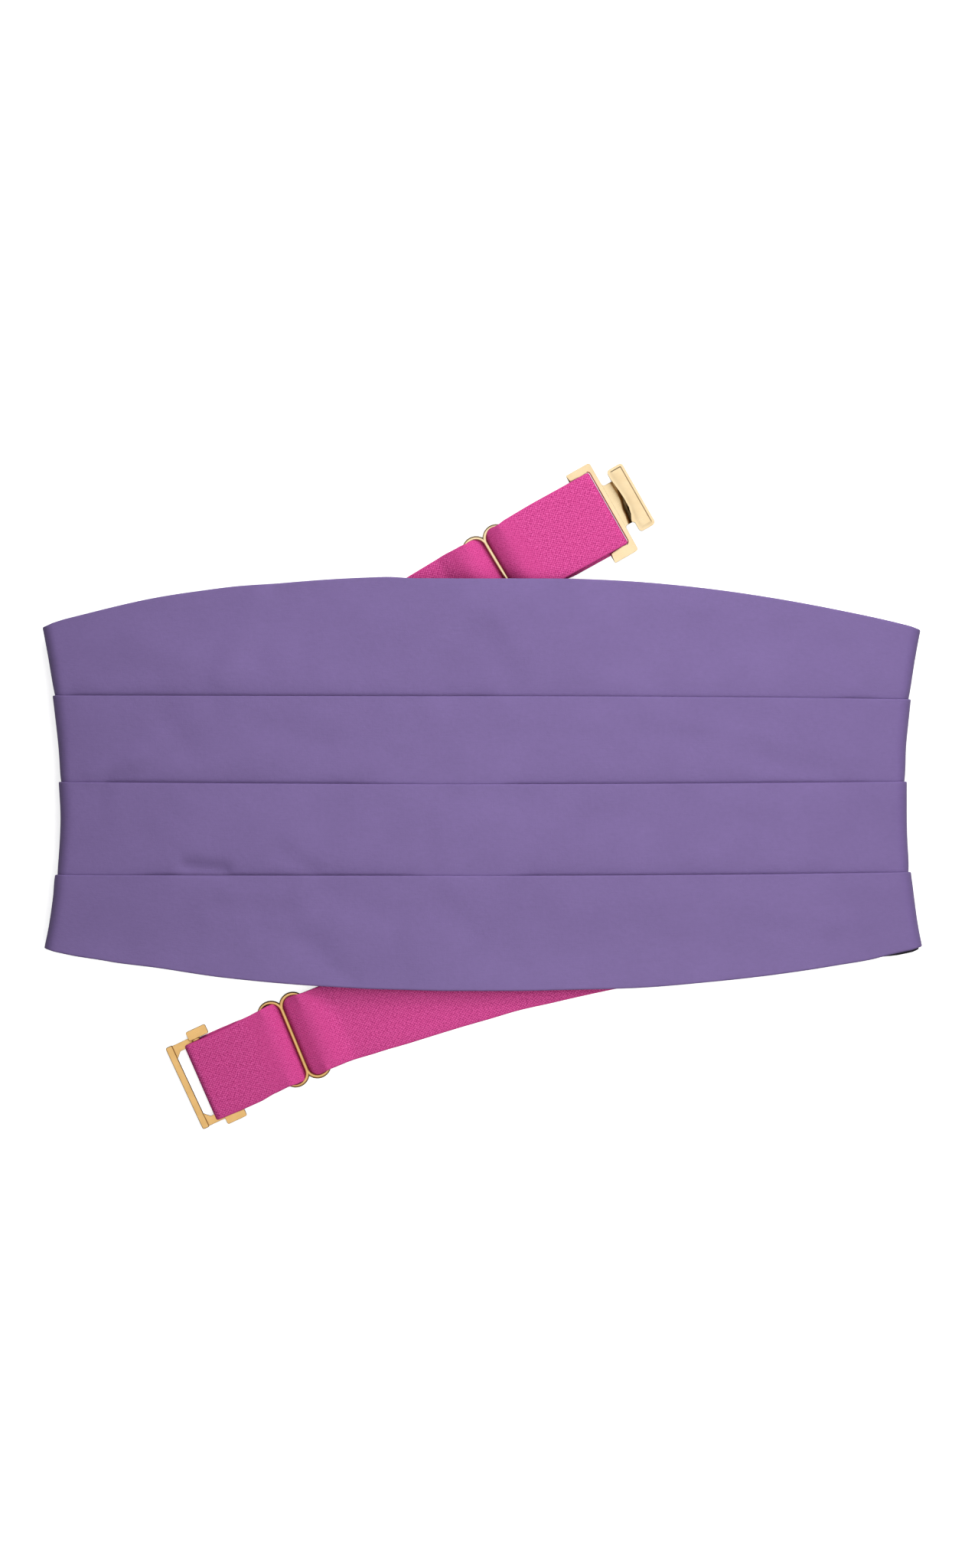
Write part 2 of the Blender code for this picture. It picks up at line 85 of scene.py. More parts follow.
SAG_FROM, SAG_OVER = 15 * MM, 45 * MM
LIFT_SHARE = 0.88
LIFT = {"x": 12 * MM, "y": 60 * MM, "wide": 40 * MM, "tall": 26 * MM}
UNDER_RUN = 3 * MM

SATIN_THICK = 0.2 * MM
PLEAT_DEPTH = 9.5 * MM
PLEAT_LINES = (
    {"left": 28.0 * MM, "middle": 27.8 * MM, "right": 26.8 * MM},
    {"left": 0.6 * MM, "middle": -0.1 * MM, "right": 0.7 * MM},
    {"left": -28.9 * MM, "middle": -29.2 * MM, "right": -28.0 * MM},
)
# How each pleat stands along its line: x in mm, how far its fold stands up, how far the band above sinks
PLEAT_GAPES = (
    (
        (-138, 0.35, 0.20), (-129, 0.50, 0.60), (-92, 0.60, 0.80), (-50, 0.55, 0.75), (-8, 0.55, 0.75),
        (6, 0.40, 0.45), (30, 0.40, 0.40), (80, 0.40, 0.35), (112, 0.38, 0.30), (123, 0.42, 0.55),
        (131, 0.38, 0.25), (138, 0.35, 0.20),
    ),
    (
        (-138, 0.35, 0.20), (-126, 0.35, 0.25), (-120, 0.60, 0.75), (-90, 0.60, 0.75), (-50, 0.55, 0.65),
        (-28, 0.40, 0.35), (-14, 0.32, 0.20), (3, 0.32, 0.22), (14, 0.45, 0.50), (80, 0.45, 0.50),
        (100, 0.50, 0.75), (114, 0.45, 0.50), (138, 0.35, 0.20),
    ),
    (
        (-138, 0.35, 0.20), (-118, 0.38, 0.25), (-98, 0.60, 0.70), (-87, 0.75, 1.20), (-76, 0.60, 0.80),
        (-34, 0.50, 0.60), (-14, 0.35, 0.22), (6, 0.35, 0.22), (18, 0.50, 0.50), (90, 0.45, 0.50),
        (124, 0.42, 0.40), (138, 0.35, 0.20),
    ),
)
# Creases pressed into the cloth, in mm: from x, y to x, y, then the width, and the height (below 0 sinks)
CREASES = (
    (-71, 60, -83, 34, 3.5, 0.30),
    (-63, 58, -71, 40, 5.0, -0.40),
    (-56, 60, -58, 44, 6.0, -0.25),
    (1, 47, -11, 31, 5.5, -0.45),
    (4, 44, 10, 32, 5.0, -0.22),
    (-6, 56, -20, 40, 5.0, 0.18),
    (-112, 46, -94, 40, 4.0, 0.15),
    (-120, 34, -104, 36, 3.0, -0.15),
    (112, 44, 121, 31, 4.0, -0.25),
    (40, 38, 58, 32, 4.0, -0.18),
    (-90, 22, -110, 8, 4.0, 0.25),
    (-108, 9, -124, 3, 3.0, 0.25),
    (-100, 20, -94, 12, 5.0, -0.30),
    (-72, 18, -52, 14, 5.0, -0.25),
    (-20, 20, -26, 8, 4.0, -0.22),
    (-34, 8, -44, 3, 3.0, 0.12),
    (52, 16, 68, 13, 4.0, -0.22),
    (64, 20, 92, 14, 3.0, 0.12),
    (90, 7, 110, 4, 4.0, -0.35),
    (8, 17, 36, 15, 2.5, -0.10),
    (-8, -5, 12, -6, 5.0, -0.22),
    (30, -12, 44, -10, 5.0, -0.20),
    (78, -11, 90, -12, 4.0, -0.20),
    (-94, -26, -82, -27, 2.2, -0.55),
    (-104, -12, -90, -20, 4.0, 0.15),
    (-64, -22, -54, -27, 3.0, -0.25),
    (-18, -14, -16, -27, 4.0, -0.22),
    (-84, -39, -62, -41, 3.5, -0.30),
    (-70, -46, -52, -50, 3.5, -0.28),
    (-50, -34, -30, -42, 5.0, -0.25),
    (-56, -52, -42, -62, 4.0, -0.30),
    (-14, -38, -4, -46, 5.0, -0.25),
    (-20, -52, 0, -60, 7.0, 0.25),
    (16, -36, 24, -54, 5.0, -0.15),
    (84, -44, 112, -50, 3.0, -0.14),
    (92, -50, 116, -44, 2.0, 0.10),
    (112, -39, 114, -44, 1.2, 0.12),
)
# What those tables' heights are multiplied by, and the deepest that a band sinks
CREASE_GAIN, STAND_GAIN, SINK_GAIN, MOST_SINK = 1.6, 1.35, 1.7, 0.95 * MM
# The unevenness of cloth that was folded away: height, size along and across in m, place in the noise
UNEVEN = ((0.22 * MM, 0.034, 0.016, 1.7), (0.10 * MM, 0.013, 0.008, 5.2), (0.025 * MM, 0.0045, 0.0035, 9.1))
# A pleat's rounded fold and the gap behind it, and how the band above dips to it: share, reach, power
NOSE, FOLD_GAP = 0.3 * MM, 0.02 * MM
DIPS = ((0.6, 1.4 * MM, 1), (0.4, 4.0 * MM, 2))
# How far a band's rows crowd to its edges, and where across it the step at its upper edge settles
CROWD, SETTLES = 0.86, {"from": 0.12, "over": 0.75}
# The share of the half width over which the creases fade out at each side
CREASE_FADE = 0.05
# How far in the turned edges reach, and the rows of points across each band
TURNED_IN, BAND_ROWS = (5 * MM, 2 * MM), 25
# Where the cloth's own map starts, so that no place on it is below 0
MAP_X, MAP_Y = 0.16, 0.22


def smooth(value):
    value = min(max(value, 0.0), 1.0)
    return value * value * (3 - 2 * value)


def between(a, b, share):
    return a + (b - a) * share


def read_table(rows, x):
    """The values of a table's row at x, eased between its rows."""
    if x <= rows[0][0] * MM:
        return rows[0][1:]
    for near, far in zip(rows, rows[1:]):
        if x <= far[0] * MM:
            share = smooth((x / MM - near[0]) / (far[0] - near[0]))
            return tuple(between(a, b, share) for a, b in zip(near[1:], far[1:]))
    return rows[-1][1:]


def panel_edge(edge, x):
    size = PANEL_EDGES[edge]
    along = max(0.0, abs(x) - FLAT_EDGE) / (CORNER_X - FLAT_EDGE)
    stray = read_table(EDGE_STRAYS[edge], x)[0] * MM * math.copysign(1, size["height"])
    return size["height"] - size["drop"] * along ** size["power"] + stray


def side_stray(side, across):
    return read_table(EDGE_STRAYS["left" if side < 0 else "right"], across)[0] * MM


def pleat_line(line, x):
    share = min(max(x / CORNER_X, -1.0), 1.0)
    return between(line["middle"], line["right"] if share > 0 else line["left"], share * share)


def side_start(across):
    """How far out the panel runs before it starts to roll under."""
    reach = between(WAIST_X, CORNER_X, (across / CORNER_Y) ** 2)
    pleats = FOLD_SPREAD / 2 * (1 - (across / CORNER_Y) ** 2)
    return reach - FOLD_INNER - FOLD_WALL - max(pleats, 0.0)


def resting_height(share, x, across):
    """The panel hangs a little between its two rolled sides, and the upper slide holds it up."""
    sag = SAG_MIDDLE + SAG_BOTTOM * smooth((-across - SAG_FROM) / SAG_OVER)
    lift = LIFT_SHARE * math.exp(
        -(((x - LIFT["x"]) / LIFT["wide"]) ** 2) - ((across - LIFT["y"]) / LIFT["tall"]) ** 2
    )
    return SIDE_Z - sag * math.cos(share * math.pi / 2) ** 2 * (1 - lift)


def columns_along(flats, turns):
    """Columns from the left seam under the panel, round and across it, to the right seam."""
    left = [{"side": -1, "turn": math.pi, "run": UNDER_RUN * (1 - i / 2)} for i in range(2)]
    left += [{"side": -1, "turn": math.pi * (1 - i / turns), "run": 0.0} for i in range(turns)]
    flat = [{"share": 2 * i / flats - 1} for i in range(flats + 1)]
    return left + flat + [{**row, "side": 1} for row in reversed(left)]


def along_cloth(column):
    """How far along the cloth a column lies, measured from the middle."""
    if "share" in column:
        return column["share"] * side_start(CORNER_Y)
    radius = FOLD_INNER + FOLD_WALL
    return column["side"] * (side_start(CORNER_Y) + radius * column["turn"] + column["run"])


def in_plan(column):
    if "share" in column:
        return column["share"] * side_start(CORNER_Y)
    radius = FOLD_INNER + FOLD_WALL + FOLD_SPREAD / 2
    reach = radius * math.sin(column["turn"])
    if column["turn"] > math.pi / 2:
        reach = 2 * radius - reach
    return column["side"] * (side_start(CORNER_Y) + reach + column["run"])


def crease_height(x, across):
    """Pressed creases, and the slight unevenness of cloth that was folded away, in metres."""
    height = 0.0
    for start_x, start_y, end_x, end_y, wide, high in CREASES:
        start, end = Vector((start_x, start_y)) * MM, Vector((end_x, end_y)) * MM
        run = end - start
        point = Vector((x, across)) - start
        share = min(max(point.dot(run) / run.length_squared, 0.0), 1.0)
        away = (point - run * share).length / (wide * MM)
        if away < 3:
            height += CREASE_GAIN * high * MM * math.exp(-away * away)
    for high, long, wide, place in UNEVEN:
        height += high * noise.noise(Vector((x / long, across / wide, place)))
    return height


def on_panel(column, across, rise):
    """A point of the panel: across it, and out from the inner face of the front."""
    side = column.get("side") or math.copysign(1, column["share"])
    half = side_start(across) + side_stray(side, across)
    if "share" in column:
        x = column["share"] * half
        fade = smooth((1 - abs(column["share"])) / CREASE_FADE)
        z = resting_height(column["share"], x, across) + rise + fade * crease_height(x, across)
    else:
        radius = FOLD_INNER + rise
        x = column["side"] * (half + radius * math.sin(column["turn"]) - column["run"])
        z = FOLD_CENTRE_Z + radius * math.cos(column["turn"])
    return Vector((x, PANEL_Y + across, z))


def half_round(across, height, radius, steps, way):
    """Points of a half circle, from below its centre to above it, bulging one way."""
    turns = [math.pi * step / steps for step in range(steps + 1)]
    return [(across + way * radius * math.sin(turn), height - radius * math.cos(turn)) for turn in turns]


def turned_edge(edge, sign):
    """The rounded edge where the satin is turned in; sign is 1 at the top edge and -1 at the bottom."""
    radius = (FOLD_WALL - SATIN_THICK) / 2
    middle = FOLD_WALL / 2
    rows = [(edge - sign * inward, middle - radius) for inward in TURNED_IN]
    return rows + half_round(edge - sign * middle, middle, radius, 6, sign)


def front_section(x):
    """The satin cut across at x: from its turned-in top edge down through the pleats to the bottom."""
    top, bottom = panel_edge("top", x), panel_edge("bottom", x)
    surface = FOLD_WALL - SATIN_THICK / 2
    rows = turned_edge(top, 1)
    start, step_here = rows[-1][0], 0.0
    lines = [pleat_line(line, x) for line in PLEAT_LINES]
    for number, end in enumerate(lines + [bottom + FOLD_WALL / 2]):
        last = number == len(lines)
        stand, sink = (0.0, 0.0) if last else read_table(PLEAT_GAPES[number], x)
        stand, sink = STAND_GAIN * (stand * MM), min(SINK_GAIN * (sink * MM), MOST_SINK)
        for row in range(1, BAND_ROWS + 1):
            even = row / BAND_ROWS
            share = even - CROWD * math.sin(2 * math.pi * even) / (2 * math.pi)
            across = between(start, end, share)
            slope = step_here * (1 - smooth((share - SETTLES["from"]) / SETTLES["over"]))
            away = abs(across - end)
            dip = sink * sum(part * math.exp(-(away / reach) ** power) for part, reach, power in DIPS)
            rows.append((across, surface + slope - dip))
        if last:
            break
        under = surface - sink
        upper = surface + stand
        back = upper - SATIN_THICK - FOLD_GAP
        deep = end - PLEAT_DEPTH
        part_way = between(end, deep, 0.3)
        rows += [(part_way, under - FOLD_GAP), (deep, under - FOLD_GAP)]
        rows += half_round(deep, (back + under) / 2, (back - under) / 2, 4, -1)[1:-1]
        rows += [(deep, back), (part_way, back)]
        radius = max(min(NOSE, (stand + sink - SATIN_THICK) / 2), (upper - back) / 2)
        start, step_here = end - radius, stand
        rows += half_round(start, upper - radius, radius, 6, 1)
    return rows + turned_edge(bottom, -1)[::-1][1:]


def only(piece):
    """Selects one piece and nothing else."""
    bpy.ops.object.select_all(action="DESELECT")
    bpy.context.view_layer.objects.active = piece
    piece.select_set(True)


def placed(name, mesh):
    """An object of a finished bmesh, selected alone."""
    data = bpy.data.meshes.new(name)
    mesh.to_mesh(data)
    mesh.free()
    piece = bpy.data.objects.new(name, data)
    bpy.context.scene.collection.objects.link(piece)
    only(piece)
    return piece


def sheet_through(name, columns, sections, thick):
    """A sheet of cloth through one section per column, with its UV map in metres, and then its thickness."""
    mesh = bmesh.new()
    grid = [
        [mesh.verts.new(on_panel(column, across, rise)) for across, rise in section]
        for column, section in zip(columns, sections)
    ]
    middle = grid[len(grid) // 2]
    down = [0.0]
    for above, below in zip(middle, middle[1:]):
        down.append(down[-1] - (below.co - above.co).length)
    uv = mesh.loops.layers.uv.new("cloth")
    for c in range(len(grid) - 1):
        for r in range(len(middle) - 1):
            face = mesh.faces.new((grid[c][r], grid[c][r + 1], grid[c + 1][r + 1], grid[c + 1][r]))
            face.smooth = True
            corners = ((c, r), (c, r + 1), (c + 1, r + 1), (c + 1, r))
            for loop, (column, row) in zip(face.loops, corners):
                loop[uv].uv = (along_cloth(columns[column]) + MAP_X, down[row] + MAP_Y)
    sheet = placed(name, mesh)
    wall = sheet.modifiers.new("thickness", "SOLIDIFY")
    wall.thickness, wall.offset = thick, 0.0
    bpy.ops.object.modifier_apply(modifier=wall.name)
    return sheet


columns = columns_along(flats=210, turns=12)
front_satin = sheet_through(
    "front_satin", columns, [front_section(in_plan(column)) for column in columns], SATIN_THICK
)


def new_node(tree, kind, values=(), **settings):
    """Adds a node with its options, and fills its sockets with numbers or links from other sockets."""
    node = tree.nodes.new(kind)
    for key, value in settings.items():
        setattr(node, key, value)
    for key, value in dict(values).items():
        socket = node.inputs[key]
        if isinstance(value, bpy.types.NodeSocket):
            tree.links.new(value, socket)
        else:
            socket.default_value = value
    return node


def maths(tree, operation, *values):
    node = new_node(tree, "ShaderNodeMath", dict(enumerate(values)), operation=operation)
    return node.outputs[0]


def weighed(tree, *pairs):
    """The sum of values, each times its weight."""
    parts = [maths(tree, "MULTIPLY", value, weight) for value, weight in pairs]
    total = parts[0]
    for part in parts[1:]:
        total = maths(tree, "ADD", total, part)
    return total


def mixed(tree, share, first, second):
    node = new_node(tree, "ShaderNodeMix", {0: share, 6: first, 7: second}, data_type="RGBA")
    return node.outputs[2]


def noise_at(tree, where, scale, detail, roughness=0.5):
    """The outputs of a noise: its value, then its colour."""
    values = {"Vector": where, "Scale": scale, "Detail": detail, "Roughness": roughness}
    return new_node(tree, "ShaderNodeTexNoise", values).outputs


def ranged(tree, value, start, end, low=0.0, high=1.0, ease="LINEAR"):
    """A value carried from start and end to low and high."""
    values = {0: value, 1: start, 2: end, 3: low, 4: high}
    return new_node(tree, "ShaderNodeMapRange", values, interpolation_type=ease).outputs[0]


def new_material(name):
    material = bpy.data.materials.new(name)
    material.use_nodes = True
    return material, material.node_tree, material.node_tree.nodes["Principled BSDF"]


def new_group(name, vectors_in, numbers_out):
    """A node group with the outputs of its entry and the inputs of its exit."""
    group = bpy.data.node_groups.new(name, "ShaderNodeTree")
    for socket in vectors_in:
        group.interface.new_socket(socket, in_out="INPUT", socket_type="NodeSocketVector")
    for socket in numbers_out:
        group.interface.new_socket(socket, in_out="OUTPUT", socket_type="NodeSocketFloat")
    return group, new_node(group, "NodeGroupInput").outputs, new_node(group, "NodeGroupOutput").inputs


def cloth_weave_group():
    """Threads, nap and cloudiness of a woven cloth, from a map in metres."""
    numbers_out = ("Thread Height", "Thread Tone", "Nap", "Clouds")
    group, entry, leave = new_group("cloth_weave", ("Map",), numbers_out)
    long_threads = new_node(group, "ShaderNodeMapping", {"Vector": entry[0], "Scale": (260, 3600, 1)})
    cross_threads = new_node(group, "ShaderNodeMapping", {"Vector": entry[0], "Scale": (3600, 420, 1)})
    along = noise_at(group, long_threads.outputs[0], 1.0, 2.0)[0]
    over = noise_at(group, cross_threads.outputs[0], 1.0, 2.0)[0]
    threads = maths(group, "ADD", along, maths(group, "MULTIPLY", over, 0.6))
    nap = noise_at(group, entry[0], 620.0, 3.0, 0.65)[0]
    clouds = noise_at(group, entry[0], 55.0, 3.0, 0.55)[0]
    for number, value in enumerate((threads, along, nap, clouds)):
        group.links.new(value, leave[number])
    return group


def cloth_material(name, deep, light, thread_bump, clouds_share):
    """A matte woven cloth between two tones of its colour."""
    material, tree, shader = new_material(name)
    uv = new_node(tree, "ShaderNodeUVMap", uv_map="cloth")
    weave = new_node(tree, "ShaderNodeGroup", node_tree=weave_group)
    tree.links.new(uv.outputs[0], weave.inputs[0])
    height, tone, nap, clouds = weave.outputs
    share = weighed(tree, (clouds, clouds_share), (nap, 0.9 - clouds_share), (tone, 0.25))
    colour = mixed(tree, ranged(tree, share, 0.32, 0.86), (*deep, 1.0), (*light, 1.0))
    rough = ranged(tree, nap, 0.3, 0.7, 0.56, 0.68)
    bump = new_node(tree, "ShaderNodeBump", {"Strength": thread_bump, "Distance": 0.00008, "Height": height})
    soft = new_node(tree, "ShaderNodeBump", {"Strength": 0.35, "Distance": 0.00025, "Height": nap,
                                            "Normal": bump.outputs[0]})
    tree.links.new(colour, shader.inputs["Base Color"])
    tree.links.new(rough, shader.inputs["Roughness"])
    tree.links.new(soft.outputs[0], shader.inputs["Normal"])
    shader.inputs["Specular IOR Level"].default_value = 0.25
    return material


weave_group = cloth_weave_group()
satin = cloth_material(
    "purple_satin", deep=(0.166, 0.109, 0.285), light=(0.206, 0.138, 0.349),
    thread_bump=0.35, clouds_share=0.45,
)
satin_shader = satin.node_tree.nodes["Principled BSDF"]
satin_shader.inputs["Sheen Weight"].default_value = 0.12
satin_shader.inputs["Sheen Roughness"].default_value = 0.45
front_satin.data.materials.append(satin)
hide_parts("front")
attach(front_satin, "root")


# ============================================================ lining
# Near-black lining cloth behind the whole front, felled to its turned-in edges. At the lower right
# corner it slips out past the satin by less than a millimetre.
LINING_THICK, LINING_BEHIND, LINING_INSET = 0.25 * MM, 0.35 * MM, 0.8 * MM
PEEK = {"from": 119 * MM, "over": 12 * MM, "by": 1.5 * MM}


def lining_section(x):
    peek = PEEK["by"] * smooth((x - PEEK["from"]) / PEEK["over"])
    top = panel_edge("top", x) - LINING_INSET
    bottom = panel_edge("bottom", x) + LINING_INSET - peek
    steps = 60
    return [(between(top, bottom, step / steps), -LINING_BEHIND) for step in range(steps + 1)]


columns = columns_along(flats=110, turns=10)
front_lining = sheet_through(
    "front_lining", columns, [lining_section(in_plan(column)) for column in columns], LINING_THICK
)
lining_cloth = cloth_material(
    "dark_lining", deep=(0.010, 0.008, 0.014), light=(0.020, 0.016, 0.026), thread_bump=0.25, clouds_share=0.3
)
lining_cloth.node_tree.nodes["Principled BSDF"].inputs["Specular IOR Level"].default_value = 0.4
front_lining.data.materials.append(lining_cloth)
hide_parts("lining")
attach(front_lining, "root")


# ============================================================ tabs
# The garment's two tapered ends, folded under it: satin below and lining above, turned in together
# round all edges, with a strap sewn to the tip of each.
TAB_HIGH, TAB_ROUND = 2.0 * MM, 0.7 * MM
TABS = (
    {"node": "tab_left", "side": -1, "tip_x": -93 * MM, "tip_low": -14 * MM, "tip_high": 19 * MM},
    {"node": "tab_right", "side": 1, "tip_x": 93 * MM, "tip_low": -57 * MM, "tip_high": -24 * MM},
)
SEAM = 0.3 * MM


def tab_outline(tab):
    side = tab["side"]
    reach = side * (side_start(CORNER_Y) + 2 * (FOLD_INNER + FOLD_WALL + FOLD_SPREAD / 2) + UNDER_RUN)
    low, high = panel_edge("bottom", reach), panel_edge("top", reach)
    steps = 16
    points = []
    for step in range(steps + 1):
        across = between(low, high, step / steps)
        out = side_start(across) + side_stray(side, across) - UNDER_RUN - SEAM
        points.append((side * out, PANEL_Y + across))
    points.append((tab["tip_x"], PANEL_Y + tab["tip_high"]))
    points.append((tab["tip_x"], PANEL_Y + tab["tip_low"]))
    return points


for tab in TABS:
    mesh = bmesh.new()
    face = mesh.faces.new([mesh.verts.new((x, y, 0.0)) for x, y in tab_outline(tab)])
    face.normal_update()
    if face.normal.z > 0:
        face.normal_flip()
    raised = bmesh.ops.extrude_face_region(mesh, geom=[face])
    for item in raised["geom"]:
        if isinstance(item, bmesh.types.BMVert):
            item.co.z = TAB_HIGH
    bmesh.ops.recalc_face_normals(mesh, faces=mesh.faces)
    cover = placed(tab["node"] + "_cloth", mesh)
    rounding = cover.modifiers.new("turned edges", "BEVEL")
    rounding.width, rounding.segments, rounding.limit_method = TAB_ROUND, 4, "ANGLE"
    bpy.ops.object.modifier_apply(modifier=rounding.name)
    uv = cover.data.uv_layers.new(name="cloth")
    for polygon in cover.data.polygons:
        polygon.use_smooth = abs(polygon.normal.z) < 0.999
        polygon.material_index = 1 if polygon.normal.z > 0.5 else 0
        for index in polygon.loop_indices:
            spot = cover.data.vertices[cover.data.loops[index].vertex_index].co
            uv.data[index].uv = (spot.x + MAP_X, spot.y + MAP_Y)
    cover.data.materials.append(satin)
    cover.data.materials.append(lining_cloth)
    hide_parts(tab["node"])
    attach(cover, "root")


# ============================================================ straps
# Pink knitted elastic, cut 25 mm wide, which measures 26 as it lies. Each is sewn to its tab, runs over and
# under its slide's bars to the crossbar of its hook or eye, and comes back to be sewn round an outer bar.
STRAP_WIDE, STRAP_THICK = 25.9 * MM, 1.0 * MM
WIRE_RADIUS = 0.70 * MM
SLIDE_BAR, BAR_Z = 7.5 * MM, 2.05 * MM
PLATE_LOW, PLATE_HIGH = 1.35 * MM, 2.55 * MM
RING_TURN = 1.45 * MM
SOFT_BEND = 6 * MM
SEWN_END = {"tuck": 0.9 * MM, "from": 8.5 * MM, "over": 12 * MM}
EDGE_CURL = {"up": 0.55 * MM, "at": 6.3 * MM, "wide": 1.1 * MM, "inset": 1.6 * MM}
FOLD_CORNER = 1.0 * MM
LOOP_FILL = {"by": 0.35 * MM, "over": 2.2 * MM}
# How near the middle bar the elastic is drawn tight, so that its knit turns to ribs, and how near it the
# elastic is painted dark red as the bar's painted shadow
DRAWN, PAINTED_BAR_SHADOW = {"from": 8 * MM, "over": 7 * MM}, {"to": 1.0 * MM, "over": 1.3 * MM}
# The bends: how close a bar is hugged, the ease over an outer bar, the slope off the tab, and the tail
HUG, EASE, OFF_TAB, TAIL = 1.28 * MM, 7 * MM, 10 * MM, {"along": 8 * MM, "up": 0.1 * MM}
LIFTS_AT, BACK_EASE, RING_STEP = -17 * MM, 5 * MM, 0.8 * MM
TURN_STEP = math.radians(9)
# Each strap's route. Its headings, in degrees, and its drift across, in mm, go with the distance in mm along
# it from its slide.
ROUTES = {
    "hook": {
        "slide": Vector((5.95 * MM, 68.3 * MM + PANEL_Y)),
        "bearing": 0.0,
        "headings": ((-126, 31.2), (-12, 31.2), (-9, 30.6), (9, 30.6), (14, 29.6), (60, 29.6)),
        "start": -126 * MM,
        "tab_edge": -108 * MM,
        "ring": 36.0 * MM,
        "fold": 37.35 * MM,
        "slide_long": 29.0 * MM,
        "slide_shift": -0.7 * MM,
        "drift": (
            (-20, 0.35), (-14, 0.35), (-8, 0.0), (-5, -0.5), (5, -0.5), (9, 0.0), (19, 0.15), (34, 0.0),
        ),
        "back_drift": -0.75 * MM,
        "rests_on": "tab_left_cloth",
        "area": 0.0055,
    },
    "eye": {
        "slide": Vector((-59.9 * MM, -81.3 * MM + PANEL_Y)),
        "bearing": 180.0,
        "headings": (
            (-170, 11.5), (-104, 11.5), (-91, 12.7), (-60, 15.6), (-25, 18.4), (-10, 22.5),
            (10, 22.5), (16, 24.6), (30, 23.6), (60, 23.6),
        ),
        "start": -165 * MM,
        "tab_edge": -148 * MM,
        "ring": 30.5 * MM,
        "fold": 31.0 * MM,
        "slide_long": 29.2 * MM,
        "slide_shift": 0.0,
        "drift": (
            (-84, 0.9), (-72, 0.65), (-60, 0.9), (-36, 1.0), (-24, 0.7), (-12, 0.15), (-4, 0.0),
            (6, 0.1), (12, 0.45), (18, 0.95), (24, 0.95), (30, 0.85),
        ),
        "back_drift": -0.65 * MM,
        "rests_on": "tab_right_cloth",
        "area": 0.0062,
    },
}


def heading_at(route, along):
    """The strap's direction in plan, read from its route's table, in radians."""
    rows = [(distance * MM, angle) for distance, angle in route["headings"]]
    angle = rows[0][1]
    for (near, first), (far, second) in zip(rows, rows[1:]):
        if along >= near:
            angle = between(first, second, min((along - near) / (far - near), 1.0))
    return math.radians(route["bearing"] + angle)


def plan_point(route, along):
    """The strap's middle line, walked from its slide in short steps."""
    steps = max(1, round(abs(along) / MM))
    step = along / steps
    point = route["slide"].copy()
    for i in range(steps):
        heading = heading_at(route, (i + 0.5) * step)
        point += Vector((math.cos(heading), math.sin(heading))) * step
    return point


def strap_bends(route):
    """What the strap bends round, in order: where, how far its middle passes, and which way it turns."""
    on_tab = TAB_HIGH + SEAM + STRAP_THICK / 2
    floor = STRAP_THICK / 2
    edge = route["tab_edge"]
    return (
        {"along": route["start"], "height": on_tab, "radius": 0.0, "way": 1},
        {"along": edge, "height": on_tab - SOFT_BEND, "radius": SOFT_BEND, "way": -1},
        {"along": edge + OFF_TAB, "height": floor + SOFT_BEND, "radius": SOFT_BEND, "way": 1},
        {"along": LIFTS_AT, "height": floor + SOFT_BEND, "radius": SOFT_BEND, "way": 1},
        {"along": -SLIDE_BAR, "height": BAR_Z + HUG - EASE, "radius": EASE, "way": -1},
        {"along": 0.0, "height": BAR_Z, "radius": HUG, "way": 1},
        {"along": SLIDE_BAR, "height": BAR_Z + HUG + STRAP_THICK + SEAM - EASE, "radius": EASE, "way": -1},
        {"along": route["fold"], "height": (PLATE_LOW + PLATE_HIGH) / 2, "radius": RING_TURN, "way": -1},
        {"along": SLIDE_BAR, "height": BAR_Z, "radius": HUG, "way": -1},
        {"along": SLIDE_BAR + TAIL["along"], "height": BAR_Z + TAIL["up"], "radius": 0.0, "way": 1},
    )


def threaded_path(bends):
    """Points (along, height, direction, bend number) of a band pulled smoothly round its bends."""
    directions = []
    for first, second in zip(bends, bends[1:]):
        gap = Vector((second["along"] - first["along"], second["height"] - first["height"]))
        offset = second["way"] * second["radius"] - first["way"] * first["radius"]
        directions.append(math.atan2(gap.y, gap.x) - math.asin(offset / gap.length))
    path = []
    for i, bend in enumerate(bends):
        arriving = directions[max(i - 1, 0)]
        leaving = directions[min(i, len(directions) - 1)]
        sweep = (leaving - arriving + math.pi) % (2 * math.pi) - math.pi
        if sweep * bend["way"] < -0.5:
            sweep += bend["way"] * 2 * math.pi
        parts = max(1, math.ceil(abs(sweep) / TURN_STEP))
        for part in range(parts + 1):
            if part and abs(sweep) < 1e-6:
                break
            angle = arriving + sweep * part / parts
            path.append((
                bend["along"] + bend["way"] * bend["radius"] * math.sin(angle),
                bend["height"] - bend["way"] * bend["radius"] * math.cos(angle),
                angle,
                i,
            ))
    return path


def divided(path, most):
    """Long straight stretches get points between their ends."""
    result = [path[0]]
    for first, second in zip(path, path[1:]):
        parts = max(1, math.ceil(abs(second[0] - first[0]) / most))
        for part in range(1, parts):
            spot = tuple(between(a, b, part / parts) for a, b in zip(first[:2], second[:2]))
            result.append(spot + second[2:])
        result.append(second)
    return result


def band_profile(half):
    """The band cut across: flat faces and rounded selvedges, as (sideways, up) pairs going round."""
    radius = STRAP_THICK / 2
    flat = [between(-half + radius, half - radius, i / 8) for i in range(1, 8)]
    points = [(sideways, -radius) for sideways in flat]
    points += half_round(half - radius, 0.0, radius, 6, 1)
    points += [(sideways, radius) for sideways in reversed(flat)]
    return points + half_round(radius - half, 0.0, radius, 6, -1)[::-1]


